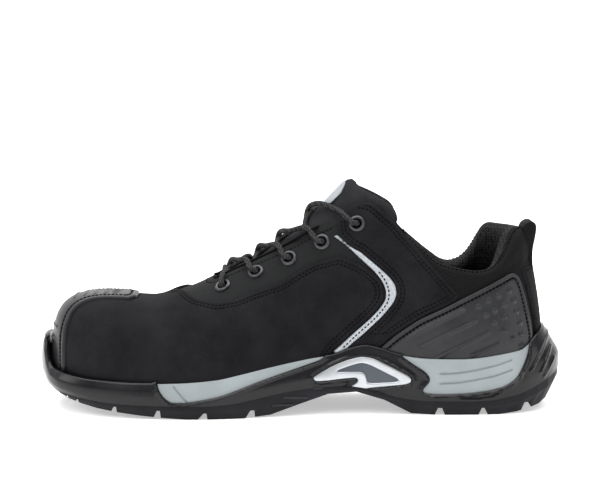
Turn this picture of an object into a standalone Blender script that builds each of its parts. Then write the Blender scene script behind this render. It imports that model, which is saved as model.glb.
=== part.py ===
"""A low-cut safety sneaker, the left one of a pair, standing empty on its sole.

The toe points along -X and the heel along +X. The wearer's outer side is -Y.
Z is up, and the floor under the middle of the shoe's box is the origin.

The upper is worked out from a last. Columns stand round the last's edge, rise and
lean in to a ridge that runs over the toe and up the instep, and fan out round the
toe and the heel. Every panel on the upper lies between two copies of that form,
and the sole's layers are lofted from one plan outline.
"""

import math

import bmesh
import bpy
from mathutils import Vector
from mathutils.bvhtree import BVHTree

MM = 0.001
CLEAR = 0.3 * MM
NUDGE = (0.009 * MM, 0.005 * MM, 0.008 * MM)
NUDGES = 5
# How flat the faces are that tidy joins, in degrees, and how it splits them again
FLAT_TRIES = (
    (2.1, "BEAUTY"), (2.1, "EAR_CLIP"), (1.5, "BEAUTY"), (1.5, "EAR_CLIP"), (0.8, "BEAUTY"),
    (0.8, "EAR_CLIP"), (0.1, "BEAUTY"), (0.1, "EAR_CLIP"),
)

# Sizes of the whole shoe
LENGTH = 300 * MM
BALL_WIDTH = 105 * MM
HEEL_WIDTH = 76 * MM
TOE_SWING = 6 * MM
HEEL_HEIGHT = 26 * MM
BALL_HEIGHT = 13 * MM
TOE_SPRING = 9 * MM
TOE_BOX_HEIGHT = 62 * MM
TONGUE_HEIGHT = 130 * MM
BACK_HEIGHT = 104 * MM

# Sizes of the upper
TOE_OVERHANG = 8.6 * MM
HEEL_OVERHANG = 11 * MM
SOLE_LEDGE = 4.4 * MM
UPPER_WALL = 2.2 * MM
PANEL_THICKNESS = 1.4 * MM
TOE_GUARD_THICKNESS = 3.0 * MM
COUNTER_THICKNESS = 2.0 * MM

STATIONS = 24
LEVELS = 8
FINE_LEVELS = 96


class Line:
    """A rounded line through rows of (place, value), which never overshoots a row."""

    def __init__(self, rows, key=lambda place: place):
        self.key = key
        self.at = [key(place) for place, _ in rows]
        self.values = [value for _, value in rows]
        steps = range(len(rows) - 1)
        rise = [
            (self.values[i + 1] - self.values[i]) / (self.at[i + 1] - self.at[i])
            for i in steps
        ]
        self.slopes = [rise[0]]
        for before, after in zip(rise, rise[1:]):
            product = before * after
            self.slopes.append(2 * product / (before + after) if product > 0 else 0.0)
        self.slopes.append(rise[-1])

    def __call__(self, place):
        x = min(max(self.key(place), self.at[0]), self.at[-1])
        i = max(j for j in range(len(self.at) - 1) if self.at[j] <= x)
        width = self.at[i + 1] - self.at[i]
        t = (x - self.at[i]) / width
        low, high = self.values[i], self.values[i + 1]
        a, b = self.slopes[i] * width, self.slopes[i + 1] * width
        return (
            low * (1 + 2 * t) * (1 - t) ** 2
            + a * t * (1 - t) ** 2
            + high * t * t * (3 - 2 * t)
            + b * t * t * (t - 1)
        )


def turn(share):
    """Turns a share of a length into an angle, so that a width can close round its ends."""
    return math.acos(1 - 2 * min(max(share, 0.0), 1.0))


def column(table, index, key=lambda place: place):
    return Line([(row[0], row[index]) for row in table], key)


# Plan outlines: share of the length from the toe, and the outer and inner side of the
# shoe as shares of the named width there, measured from the middle line of the foot
SOLE_PLAN = (
    # share, outer, inner
    (0.0, 0.0, 0.0),
    (0.0167, 0.210, 0.225),
    (0.05, 0.338, 0.358),
    (0.12, 0.442, 0.455),
    (0.20, 0.490, 0.497),
    (0.30, 0.500, 0.482),
    (0.40, 0.475, 0.424),
    (0.50, 0.459, 0.381),
    (0.60, 0.472, 0.400),
    (0.70, 0.500, 0.447),
    (0.80, 0.513, 0.487),
    (0.90, 0.480, 0.467),
    (0.96, 0.362, 0.362),
    (0.988, 0.211, 0.211),
    (1.0, 0.0, 0.0),
)
SOLE_OUTER = column(SOLE_PLAN, 1, turn)
SOLE_INNER = column(SOLE_PLAN, 2, turn)


def named_width(share):
    """The ball's width over the forefoot and the heel's over the rear, eased across the waist."""
    t = min(max((share - 0.35) / 0.30, 0.0), 1.0)
    ease = t * t * (3 - 2 * t)
    return BALL_WIDTH * (1 - ease) + HEEL_WIDTH * ease


def middle(share):
    """The foot's middle line, which swings towards the big toe over the last quarter."""
    t = min(max(1 - share / 0.28, 0.0), 1.0)
    return TOE_SWING * t * t


def plan_point(share, side, inset=0.0, toe_inset=0.0, heel_inset=0.0):
    """A point of the plan outline. side is -1 for the outer side and 1 for the inner side."""
    front = -LENGTH / 2 + toe_inset
    back = LENGTH / 2 - heel_inset
    width = (SOLE_OUTER if side < 0 else SOLE_INNER)(share) * named_width(share)
    fullness = math.sin(turn(share)) ** 0.6
    return (
        front + (back - front) * share,
        middle(share) + side * max(width - inset * fullness, 0.0),
    )


def share_of(x):
    """The share of the length at a place along the shoe."""
    return (x + LENGTH / 2) / LENGTH


# The last's ridge: place along the shoe, and height over the floor as shares of the toe
# box's height in front, of the tongue's height over the instep and of the back's behind
RIDGE = (
    # share of length, share of toe box height, share of tongue height, share of back height
    (0.05, 0.990, 0.0, 0.0),
    (0.133, 1.005, 0.0, 0.0),
    (0.190, 0.988, 0.0, 0.0),
    (0.215, 0.985, 0.0, 0.0),
    (0.235, 1.000, 0.0, 0.0),
    (0.265, 1.055, 0.0, 0.0),
    (0.290, 0.0, 0.523, 0.0),
    (0.330, 0.0, 0.566, 0.0),
    (0.365, 0.0, 0.618, 0.0),
    (0.415, 0.0, 0.678, 0.0),
    (0.455, 0.0, 0.735, 0.0),
    (0.495, 0.0, 0.810, 0.0),
    (0.545, 0.0, 0.922, 0.0),
    (0.590, 0.0, 1.020, 0.0),
    (0.70, 0.0, 0.560, 0.700),
    (0.84, 0.0, 0.0, 1.4425),
)
RIDGE_LINE = Line(
    [
        (row[0], row[1] * TOE_BOX_HEIGHT + row[2] * TONGUE_HEIGHT + row[3] * BACK_HEIGHT)
        for row in RIDGE
    ]
)

# The bed that the foot stands on: place along the shoe, and height as shares of the
# heel's height, the ball's height and the toe spring
BED = (
    # share of length, share of heel height, share of ball height, share of toe spring
    (0.0, 0.0, 1.0, 0.80),
    (0.10, 0.0, 1.0, 0.42),
    (0.22, 0.0, 1.0, 0.06),
    (0.32, 0.0, 1.0, 0.0),
    (0.45, 0.25, 0.75, 0.0),
    (0.60, 0.80, 0.15, 0.0),
    (0.72, 1.0, 0.0, 0.0),
    (1.0, 1.0, 0.0, 0.0),
)
BED_LINE = Line(
    [(row[0], row[1] * HEEL_HEIGHT + row[2] * BALL_HEIGHT + row[3] * TOE_SPRING) for row in BED]
)

# How full the sections of the last are: powers of the rounded section, sideways and up
FULLNESS = (
    # share of length, sideways, up
    (0.0, 6.0, 3.6),
    (0.08, 4.0, 3.1),
    (0.16, 2.9, 2.6),
    (0.30, 2.3, 2.2),
    (0.42, 2.0, 2.0),
    (0.58, 2.0, 1.8),
    (0.72, 2.0, 1.7),
    (0.88, 1.8, 1.65),
    (1.0, 1.5, 1.6),
)
SIDEWAYS_POWER = column(FULLNESS, 1)
UPWARD_POWER = column(FULLNESS, 2)

TOE_FOCUS = -LENGTH * 0.335
HEEL_FOCUS = LENGTH * 0.335
TUCK = 0.07
TUCK_HEIGHT = 0.2


def ridge_point(x):
    share = share_of(x)
    return Vector((x, middle(share), RIDGE_LINE(share)))


def column_points(share, side, levels=LEVELS):
    """The points of one column of the last, from the feather edge up to the ridge."""
    x, y = plan_point(share, side, SOLE_LEDGE, TOE_OVERHANG, HEEL_OVERHANG)
    place = share_of(x)
    head = ridge_point(min(max(x, TOE_FOCUS), HEEL_FOCUS))
    foot = Vector((x, y, BED_LINE(place)))
    sideways, upward = SIDEWAYS_POWER(place), UPWARD_POWER(place)
    points = []
    for level in range(levels + 1):
        lift = math.pi / 2 * level / levels
        rise = math.sin(lift) ** (2 / upward)
        lean = 1 - math.cos(lift) ** (2 / sideways) if level < levels else 1.0
        tuck = TUCK * max(1 - rise / TUCK_HEIGHT, 0.0) ** 2
        inward = lean + (1 - lean) * tuck
        points.append(
            Vector(
                (
                    foot.x + (head.x - foot.x) * inward,
                    foot.y + (head.y - foot.y) * inward,
                    foot.z + (head.z - foot.z) * rise,
                )
            )
        )
    return points


def round_the_last():
    """Shares and sides of the last's columns, from the toe down the outer side to the heel and back."""
    shares = [(1 - math.cos(math.pi * k / STATIONS)) / 2 for k in range(STATIONS + 1)]
    outer = [(share, -1) for share in shares]
    inner = [(share, 1) for share in reversed(shares[1:-1])]
    return outer + inner


def new_object(name, bm):
    """Puts a finished bmesh into the scene as an object."""
    bmesh.ops.recalc_face_normals(bm, faces=bm.faces)
    mesh = bpy.data.meshes.new(name)
    bm.to_mesh(mesh)
    bm.free()
    obj = bpy.data.objects.new(name, mesh)
    bpy.context.scene.collection.objects.link(obj)
    return obj


def last_form(name, offset, drop=0.0):
    """A closed copy of the last, its skin moved out by offset, which may be a function of a point."""
    bm = bmesh.new()
    ring = [[bm.verts.new(point) for point in column_points(*place)] for place in round_the_last()]
    count = len(ring)
    for here in range(count):
        there = (here + 1) % count
        for level in range(LEVELS):
            bm.faces.new(
                (ring[here][level], ring[here][level + 1], ring[there][level + 1], ring[there][level])
            )
    bmesh.ops.remove_doubles(bm, verts=bm.verts, dist=0.01 * MM)
    bmesh.ops.dissolve_degenerate(bm, edges=bm.edges, dist=0.01 * MM)
    # Every copy gets the same triangles, so that the gap between two copies stays even
    bmesh.ops.triangulate(bm, faces=bm.faces, quad_method="FIXED")
    bmesh.ops.recalc_face_normals(bm, faces=bm.faces)
    bm.normal_update()
    moved = []
    for vert in bm.verts:
        by = offset(vert.co) if callable(offset) else offset
        moved.append((vert, vert.co + vert.normal * by))
    for vert, place in moved:
        vert.co = place
    rim = {vert for edge in bm.edges if edge.is_boundary for vert in edge.verts}
    for vert in rim:
        vert.co.z = BED_LINE(share_of(vert.co.x)) - drop
    edges = [edge for edge in bm.edges if edge.is_boundary]
    bmesh.ops.triangle_fill(bm, use_beauty=True, edges=edges)
    bmesh.ops.recalc_face_normals(bm, faces=bm.faces)
    mesh = bpy.data.meshes.new(name)
    bm.to_mesh(mesh)
    bm.free()
    obj = bpy.data.objects.new(name, mesh)
    bpy.context.scene.collection.objects.link(obj)
    return obj


# Heights of the sole's lines as shares of the heel's rim, along the shoe
RIM_HEIGHT = 46.5 * MM
RIM = (
    # share of length, share of rim height
    (0.0, 0.860),
    (0.012, 0.850),
    (0.018, 0.690),
    (0.024, 0.560),
    (0.032, 0.490),
    (0.058, 0.460),
    (0.110, 0.430),
    (0.200, 0.420),
    (0.270, 0.430),
    (0.344, 0.465),
    (0.390, 0.523),
    (0.445, 0.598),
    (0.534, 0.697),
    (0.560, 0.715),
    (0.594, 0.791),
    (0.622, 0.828),
    (0.650, 0.791),
    (0.687, 0.720),
    (0.743, 0.680),
    (0.800, 0.675),
    (0.893, 0.740),
    (0.915, 0.765),
    (0.932, 0.830),
    (0.950, 0.925),
    (0.970, 0.985),
    (1.0, 1.0),
)
# The same rim without the bumper that stands up in front of the toe
BUMPER_END = 0.1
BUMPER_FOOT = 0.47
PARTING = (
    # share of length, share of rim height: the line between the outsole and the frame
    (0.0, 0.355),
    (0.022, 0.300),
    (0.046, 0.265),
    (0.089, 0.222),
    (0.168, 0.180),
    (0.317, 0.165),
    (0.372, 0.185),
    (0.408, 0.225),
    (0.470, 0.300),
    (0.523, 0.340),
    (0.585, 0.355),
    (0.641, 0.300),
    (0.688, 0.210),
    (0.744, 0.172),
    (0.837, 0.172),
    (0.904, 0.240),
    (0.964, 0.395),
    (1.0, 0.520),
)
BOTTOM = (
    # share of length, share of rim height: the underside of the sole
    (0.0, 0.300),
    (0.022, 0.255),
    (0.046, 0.205),
    (0.083, 0.148),
    (0.137, 0.088),
    (0.220, 0.034),
    (0.290, 0.0),
    (0.395, 0.0),
    (0.440, 0.026),
    (0.473, 0.066),
    (0.501, 0.148),
    (0.530, 0.215),
    (0.585, 0.284),
    (0.641, 0.226),
    (0.673, 0.120),
    (0.700, 0.028),
    (0.730, 0.0),
    (0.868, 0.0),
    (0.908, 0.026),
    (0.954, 0.082),
    (0.980, 0.165),
    (1.0, 0.250),
)
RIM_LINE = Line([(share, height * RIM_HEIGHT) for share, height in RIM])
LOW_RIM_LINE = Line(
    [
        (share, min(height, BUMPER_FOOT if share < BUMPER_END else 1.0) * RIM_HEIGHT)
        for share, height in RIM
    ]
)
PARTING_LINE = Line([(share, height * RIM_HEIGHT) for share, height in PARTING])
BOTTOM_LINE = Line([(share, height * RIM_HEIGHT) for share, height in BOTTOM])

# How far the sole's side stands in from its plan outline, up its side
SIDE_PROFILE = (
    # share of the side's height, inset all round, further inset at the toe and at the heel
    (0.0, 0.6 * MM, 1.6 * MM, 0.0),
    (0.30, 0.0, 0.2 * MM, 0.8 * MM),
    (0.65, 0.4 * MM, 0.0, 4.2 * MM),
    (1.0, 1.5 * MM, 0.6 * MM, 8.0 * MM),
)
FRAME_WALL = 3.0 * MM
CORE_GAP = 1.0 * MM
WINDOW_REACH = 24 * MM
PAD_STEP = 0.9 * MM
INSERT_RAISE = 0.8 * MM
OUTSOLE_SIDE = (
    # share of the height up to the parting line, inset all round, further inset at the toe and heel
    (0.0, 2.2 * MM, 3.0 * MM, 3.6 * MM),
    (0.6, 0.4 * MM, 2.1 * MM, 0.43 * MM),
    (1.0, 0.6 * MM, 1.6 * MM, 0.0),
)
INSOLE_THICKNESS = 4.0 * MM
RECESS_BEHIND_BUMPER = 0.9 * MM
BUMPER_FLOOR = 21.4 * MM
BUMPER_REACH = 18 * MM
PAD_INNER = 28 * MM
# The foam core and the space for it in the frame: further insets below and above
CORE_LEAN = (0.6 * MM, 1.5 * MM)
CORE_TOE = (1.6 * MM, 1.0 * MM)
CORE_HEEL = (6.5 * MM, 9.0 * MM)
SPACE_HEEL = (5.0 * MM, 8.5 * MM)
LEAST_FOAM = 3 * MM
PLATE_THICKNESS = 2.4 * MM
PLATE_OVERRUN = 5 * MM
UPPER_UNDERCUT = 4 * MM
HOLE_REACH = 8 * MM
SOLE_STATIONS = 28

# Notches across the tread: where each begins, is deepest and ends, and its top. The back
# of each leans forward by a share of its front's
NOTCH_LEAN = 0.15
NOTCHES = (
    # front, crown, back, top as a share of rim height
    (0.030, 0.040, 0.045, 0.245),
    (0.050, 0.060, 0.065, 0.225),
    (0.073, 0.080, 0.086, 0.195),
    (0.137, 0.154, 0.162, 0.142),
    (0.220, 0.236, 0.244, 0.112),
    (0.298, 0.322, 0.331, 0.078),
    (0.390, 0.408, 0.418, 0.098),
    (0.746, 0.758, 0.772, 0.088),
    (0.828, 0.840, 0.853, 0.088),
    (0.908, 0.922, 0.938, 0.132),
)

# Side-view outlines of the sole's windows, as shares of the length and of the rim's height
FRONT_WINDOW = (
    (0.236, 0.460), (0.236, 0.800), (0.545, 0.800), (0.545, 0.690), (0.501, 0.600),
    (0.464, 0.527), (0.427, 0.452), (0.390, 0.366), (0.353, 0.282), (0.317, 0.240),
    (0.289, 0.210), (0.263, 0.207), (0.250, 0.270), (0.241, 0.350),
)
REAR_WINDOW = (
    (0.690, 0.715), (0.680, 0.900), (0.934, 0.900), (0.929, 0.755), (0.922, 0.634),
    (0.914, 0.540), (0.905, 0.445), (0.884, 0.350), (0.856, 0.305), (0.818, 0.273),
    (0.781, 0.258), (0.744, 0.260), (0.729, 0.282), (0.731, 0.330), (0.742, 0.406),
    (0.742, 0.467), (0.732, 0.540), (0.712, 0.620),
)
INSERT_OUTLINE = (
    (0.517, 0.470), (0.538, 0.544), (0.566, 0.594), (0.594, 0.650), (0.617, 0.686),
    (0.635, 0.680), (0.654, 0.630), (0.688, 0.544), (0.704, 0.477), (0.710, 0.415),
    (0.704, 0.370), (0.688, 0.340), (0.651, 0.305), (0.613, 0.292), (0.588, 0.285),
    (0.566, 0.385),
)
PANEL_OUTLINE = (
    (0.590, 0.425), (0.585, 0.559), (0.617, 0.626), (0.650, 0.533), (0.684, 0.452),
    (0.688, 0.421), (0.669, 0.395), (0.622, 0.362), (0.598, 0.340),
)

# The collar: the height of its crest along the shoe, and the depth and fullness of its roll
CREST = (
    # share of length, share of back height
    (0.590, 1.130),
    (0.636, 1.120),
    (0.650, 1.093),
    (0.678, 1.030),
    (0.700, 0.962),
    (0.724, 0.900),
    (0.745, 0.850),
    (0.761, 0.818),
    (0.780, 0.795),
    (0.800, 0.782),
    (0.820, 0.777),
    (0.838, 0.785),
    (0.856, 0.820),
    (0.868, 0.870),
    (0.880, 0.935),
    (0.892, 0.985),
    (0.906, 1.004),
    (0.925, 1.000),
    (0.960, 0.990),
)
ROLL = (
    # share of length, depth, fullness outward, thickness
    (0.650, 7.0 * MM, 0.0, 7.0 * MM),
    (0.700, 8.0 * MM, 0.0, 8.0 * MM),
    (0.750, 12.0 * MM, 0.0, 9.0 * MM),
    (0.800, 12.0 * MM, 0.0, 10.0 * MM),
    (0.830, 9.2 * MM, 0.6 * MM, 10.5 * MM),
    (0.850, 8.2 * MM, 1.0 * MM, 11.0 * MM),
    (0.864, 9.6 * MM, 1.1 * MM, 11.4 * MM),
    (0.875, 12.5 * MM, 1.3 * MM, 12.0 * MM),
    (0.900, 20.0 * MM, 1.6 * MM, 12.0 * MM),
    (1.0, 20.5 * MM, 1.6 * MM, 12.0 * MM),
)
CREST_LINE = Line([(share, height * BACK_HEIGHT) for share, height in CREST])
# How far the crest's rise lies behind the table on the outer side, and ahead of it on the
# inner side, and the shares of the length between which that comes in and fades out
CREST_BACK = 4 * MM
CREST_AHEAD = 10 * MM
SKEW_IN = (0.76, 0.80)
SKEW_OUT = (0.89, 0.94)
ROLL_DEPTH = column(ROLL, 1)
ROLL_FULLNESS = column(ROLL, 2)
ROLL_THICKNESS = column(ROLL, 3)
COLLAR_FRONT = 0.72
# The roll's section, from its outer edge over the crest and down inside
COLLAR_SECTION = (
    # share of the depth down from the crest, share of the thickness inward,
    # share of the fullness outward
    (1.00, 0.0, 0.15),
    (0.80, 0.0, 0.70),
    (0.55, 0.0, 1.0),
    (0.28, 0.0, 0.80),
    (0.08, 0.06, 0.0),
    (0.00, 0.22, 0.0),
    (0.00, 0.48, 0.0),
    (0.10, 0.78, 0.0),
    (0.35, 0.98, 0.0),
    (0.75, 1.0, 0.0),
    (1.20, 0.85, 0.0),
    (1.70, 0.50, 0.0),
)
LINING_GAP = 0.8 * MM
SEAM_INSIDE = 0.92
COLLAR_STATIONS = 11

# Side-view outlines on the upper, as shares of the length and of the tongue's height
THROAT_TOP = (
    (0.612, 0.909), (0.623, 0.909), (0.636, 0.903), (0.648, 0.880), (0.664, 0.848), (0.678, 0.822),
    (0.691, 0.788),
)
VAMP_BACK = (
    (0.548, 0.692), (0.566, 0.687), (0.585, 0.672), (0.604, 0.656), (0.628, 0.625),
    (0.645, 0.596), (0.654, 0.568), (0.658, 0.530), (0.657, 0.495), (0.646, 0.457),
    (0.630, 0.417), (0.592, 0.340), (0.555, 0.267), (0.545, 0.200),
)
CRESCENT_LEFT = (
    (0.565, 0.765), (0.576, 0.744), (0.594, 0.711), (0.613, 0.669), (0.632, 0.631),
    (0.646, 0.598), (0.656, 0.564), (0.661, 0.530), (0.660, 0.495), (0.649, 0.457),
    (0.633, 0.417), (0.614, 0.378), (0.595, 0.340), (0.577, 0.301), (0.559, 0.267),
)
CRESCENT_RIGHT = (
    (0.568, 0.765), (0.585, 0.736), (0.598, 0.713), (0.613, 0.698), (0.628, 0.669),
    (0.646, 0.636), (0.665, 0.598), (0.678, 0.560), (0.681, 0.522), (0.676, 0.488),
    (0.665, 0.453), (0.650, 0.414), (0.632, 0.375), (0.613, 0.335), (0.594, 0.300),
    (0.580, 0.262),
)
STRIP_BACK = (
    (0.648, 0.880), (0.678, 0.822), (0.691, 0.784), (0.715, 0.726), (0.733, 0.675),
    (0.752, 0.629),
)
# The same edge further back and all that stands round the heel, with the back's height
STRIP_HEEL = ((0.771, 0.721), (0.789, 0.670), (0.800, 0.635))
COUNTER = (
    (0.647, 0.348), (0.656, 0.376), (0.678, 0.431), (0.706, 0.486), (0.724, 0.519),
    (0.762, 0.569), (0.799, 0.623), (0.836, 0.675), (0.874, 0.731), (0.889, 0.755),
    (0.899, 0.757), (0.908, 0.737), (0.914, 0.693), (0.922, 0.609), (0.930, 0.508),
    (0.936, 0.409), (0.934, 0.250), (0.647, 0.250),
)
BACK_STRIP = (
    (0.911, 0.785), (0.918, 0.737), (0.923, 0.693), (0.931, 0.609), (0.939, 0.508),
    (0.945, 0.409), (0.943, 0.250), (1.05, 0.250), (1.05, 0.785),
)
TONGUE_SIDE = (
    (0.270, 0.380), (0.270, 0.800), (0.500, 1.100), (0.592, 1.100), (0.597, 1.003),
    (0.634, 0.957), (0.676, 0.897), (0.684, 0.815), (0.660, 0.680), (0.600, 0.620),
    (0.450, 0.500), (0.350, 0.430),
)
TONGUE_HALF_WIDTH = 26 * MM
TONGUE_THICKNESS = 5.8 * MM
TONGUE_PINCH = 0.82
TONGUE_SHIFT = 2.9 * MM

# The toe guard in plan, round the foot's middle line
GUARD_PLAN = (
    # share of length, half width as a share of the ball's width
    (-0.02, 0.5714),
    (0.052, 0.5714),
    (0.054, 0.3333),
    (0.062, 0.2429),
    (0.075, 0.2000),
    (0.095, 0.1714),
    (0.125, 0.1524),
    (0.188, 0.1476),
)

# The throat in plan
THROAT_PLAN = (
    # share of length, half width as a share of the ball's width
    (0.336, 0.0571),
    (0.338, 0.0905),
    (0.344, 0.1143),
    (0.361, 0.1238),
    (0.425, 0.1238),
    (0.473, 0.1381),
    (0.533, 0.1571),
    (0.585, 0.1762),
    (0.625, 0.1857),
    (0.660, 0.1905),
)

# The vamp's edge round the throat in plan
VAMP_MOUTH = (
    # share of length, half width as a share of the ball's width, share of the eyelets' room
    (0.262, 0.0000, 0.125),
    (0.270, 0.0000, 0.500),
    (0.282, 0.0000, 0.917),
    (0.293, 0.0762, 1.000),
    (0.308, 0.1333, 1.000),
    (0.333, 0.1714, 1.000),
    (0.352, 0.1905, 1.000),
    (0.380, 0.1905, 1.000),
    (0.408, 0.1714, 1.000),
    (0.436, 0.1619, 1.000),
    (0.464, 0.1524, 1.000),
    (0.492, 0.1333, 1.000),
    (0.523, 0.1238, 1.000),
    (0.560, 0.1238, 1.000),
)

# Eyelets: places on the side of the upper, as shares of the length and the tongue's height
EYELETS = (
    (0.355, 0.548),
    (0.417, 0.608),
    (0.479, 0.667),
    (0.541, 0.738),
    (0.607, 0.815),
)
EYELET_RADIUS = 4.5 * MM
EYELET_ROOM = 12 * MM
EYELET_HOLE = 2.5 * MM
EYELET_BARREL = 3.1 * MM
EYELET_RISE = 1.1 * MM
EYELET_SEAT = 0.55 * MM
EYELET_ROLL = 0.7 * MM
EYELET_SIDES = 8
BARREL_REACH = 1.5 * MM
LACE_RADIUS = 1.4 * MM
LACE_LIFT = 3.0 * MM
LACE_DIVE = 9 * MM
LACE_STEP = 0.4 * MM
LACE_GAP = 1.5 * MM
LACE_END = 3 * MM
LACE_TURN = 2 * MM
# Where the front bar is held above the last, as shares of the way out to its eyelets
BAR_SHARES = (0.55, 0.0, -0.55)
# A strand's rise off its eyelet, as shares of the way forward and out, and its crossing
STRAND_RISE = (0.72, 0.62)
STRAND_CROSSING = 0.25

# The pull tab in side view, as shares of the length and of the back's height
PULL_TAB = (
    (0.9440, 0.855), (0.9500, 0.915), (0.9555, 0.978), (0.9540, 1.005), (0.9460, 1.028),
    (0.9360, 1.030), (0.9270, 1.022), (0.9290, 1.010), (0.9370, 1.006), (0.9430, 0.990),
    (0.9440, 0.950), (0.9405, 0.900), (0.9385, 0.855),
)
PULL_TAB_WIDTH = 20 * MM

MOUTH_FLOOR = 52 * MM
WIDE = 90 * MM
LOW = -5 * MM
HIGH = 180 * MM


def clear_scene():
    for obj in list(bpy.data.objects):
        bpy.data.objects.remove(obj)


def measure(mesh):
    """The volume of a mesh, or None where it isn't closed."""
    bm = bmesh.new()
    bm.from_mesh(mesh)
    closed = all(edge.is_manifold for edge in bm.edges)
    volume = bm.calc_volume()
    bm.free()
    return volume if closed else None


def combine(obj, tool, operation="DIFFERENCE"):
    """Applies one exact Boolean to obj and removes the tool.

    Where faces of the two nearly coincide, the result can come out open or empty. Its
    volume shows that, and the tool is then moved by a hair and the Boolean made again.
    """
    before, cut = measure(obj.data), measure(tool.data)
    least, most = {
        "DIFFERENCE": (before - cut, before),
        "INTERSECT": (0.0, min(before, cut)),
        "UNION": (max(before, cut), before + cut),
    }[operation]
    modifier = obj.modifiers.new(operation.title(), "BOOLEAN")
    modifier.solver = "EXACT"
    modifier.operation = operation
    modifier.object = tool
    for attempt in range(2 * NUDGES):
        modifier.use_self = attempt >= NUDGES
        tool.location = Vector(NUDGE) * (attempt % NUDGES)
        bpy.context.view_layer.update()
        graph = bpy.context.evaluated_depsgraph_get()
        mesh = bpy.data.meshes.new_from_object(obj.evaluated_get(graph))
        volume = measure(mesh)
        if volume is not None and volume > 0 and least * 0.999 <= volume <= most * 1.001:
            break
    else:
        raise RuntimeError(f"no sound {operation} of {obj.name} with {tool.name}")
    obj.modifiers.clear()
    obj.data = mesh
    bpy.data.objects.remove(tool)
    return obj


def tidy(obj, merge=0.004 * MM):
    """Welds close points, joins faces that are as good as flat and keeps the largest piece alone.

    Where a joined face can't be split into triangles soundly, it is split in another way,
    or only flatter faces are joined, or none.
    """
    for flat, method in FLAT_TRIES:
        bm = bmesh.new()
        bm.from_mesh(obj.data)
        bmesh.ops.remove_doubles(bm, verts=bm.verts, dist=merge)
        bmesh.ops.dissolve_degenerate(bm, edges=bm.edges, dist=merge)
        bmesh.ops.dissolve_limit(bm, angle_limit=math.radians(flat), verts=bm.verts, edges=bm.edges)
        bmesh.ops.triangulate(bm, faces=bm.faces, ngon_method=method)
        bmesh.ops.dissolve_degenerate(bm, edges=bm.edges, dist=merge)
        if all(len(edge.link_faces) in (0, 2) for edge in bm.edges):
            break
        bm.free()
    else:
        bm = bmesh.new()
        bm.from_mesh(obj.data)
    pieces = []
    left = set(bm.verts)
    while left:
        stack = [left.pop()]
        piece = set(stack)
        while stack:
            for edge in stack.pop().link_edges:
                for vert in edge.verts:
                    if vert in left:
                        left.discard(vert)
                        piece.add(vert)
                        stack.append(vert)
        pieces.append(piece)
    pieces.sort(key=len, reverse=True)
    for piece in pieces[1:]:
        bmesh.ops.delete(bm, geom=list(piece), context="VERTS")
    bm.to_mesh(obj.data)
    bm.free()
    return obj


def prism(name, outline, low, high, axis="Y"):
    """A solid with a side-view (axis Y) or plan (axis Z) outline, from low to high along the axis."""
    bm = bmesh.new()
    rows = []
    for place in (low, high):
        if axis == "Y":
            rows.append([bm.verts.new((a, place, b)) for a, b in outline])
        else:
            rows.append([bm.verts.new((a, b, place)) for a, b in outline])
    count = len(outline)
    bm.faces.new(rows[0])
    bm.faces.new(list(reversed(rows[1])))
    for here in range(count):
        there = (here + 1) % count
        bm.faces.new((rows[0][here], rows[0][there], rows[1][there], rows[1][here]))
    return new_object(name, bm)


def side_outline(table, height):
    """A side-view outline in metres from shares of the length and of a height."""
    return [(-LENGTH / 2 + share * LENGTH, up * height) for share, up in table]


def shrunk(outline, by):
    """The outline moved in by a clearance all round."""
    area = sum(
        a[0] * b[1] - b[0] * a[1] for a, b in zip(outline, outline[1:] + outline[:1])
    )
    way = 1 if area > 0 else -1
    moved = []
    count = len(outline)
    for i, here in enumerate(outline):
        before, after = outline[i - 1], outline[(i + 1) % count]
        normals = []
        for a, b in ((before, here), (here, after)):
            span = math.hypot(b[0] - a[0], b[1] - a[1])
            normals.append((-(b[1] - a[1]) / span * way, (b[0] - a[0]) / span * way))
        nx, nz = normals[0][0] + normals[1][0], normals[0][1] + normals[1][1]
        scale = 2 * by / max(nx * nx + nz * nz, 1.0)
        moved.append((here[0] + nx * scale, here[1] + nz * scale))
    return moved


def side_span(side):
    """The range in Y of one side of the shoe, with the middle line left free."""
    return (-WIDE, -0.01 * MM) if side < 0 else (0.01 * MM, WIDE)


def shell(name, inner, outer, drop=3 * MM):
    """Two copies of the last, one within the other, as one hollow solid."""
    obj = last_form(name, outer, drop)
    core = last_form(name + "_core", inner, drop / 2)
    return combine(obj, core)


def ladder(name, rings):
    """A closed solid through rings of points. Its two ends are strips across the shoe."""
    bm = bmesh.new()
    made = [[bm.verts.new(point) for point in ring] for ring in rings]
    count = len(made[0])
    for low, high in zip(made, made[1:]):
        for here in range(count):
            there = (here + 1) % count
            bm.faces.new((low[here], low[there], high[there], high[here]))
    for ring in (made[0], made[-1]):
        for k in range(1, count // 2):
            near, far = k, count - k
            before = (k - 1, (count - k + 1) % count)
            if k == 1:
                bm.faces.new((ring[0], ring[near], ring[far]))
            else:
                bm.faces.new((ring[before[0]], ring[near], ring[far], ring[before[1]]))
        half = count // 2
        bm.faces.new((ring[half - 1], ring[half], ring[half + 1]))
    bmesh.ops.triangulate(bm, faces=bm.faces, quad_method="FIXED")
    return new_object(name, bm)


def sole_ring(height, inset=0.0, toe_inset=0.0, heel_inset=0.0, stations=SOLE_STATIONS):
    """The plan outline at a height given along the shoe."""
    shares = [(1 - math.cos(math.pi * k / stations)) / 2 for k in range(stations + 1)]
    places = [(share, -1) for share in shares] + [(share, 1) for share in shares[-2:0:-1]]
    ring = []
    for share, side in places:
        x, y = plan_point(share, side, inset, inset + toe_inset, inset + heel_inset)
        ring.append(Vector((x, y, height(share_of(x)))))
    return ring


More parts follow.
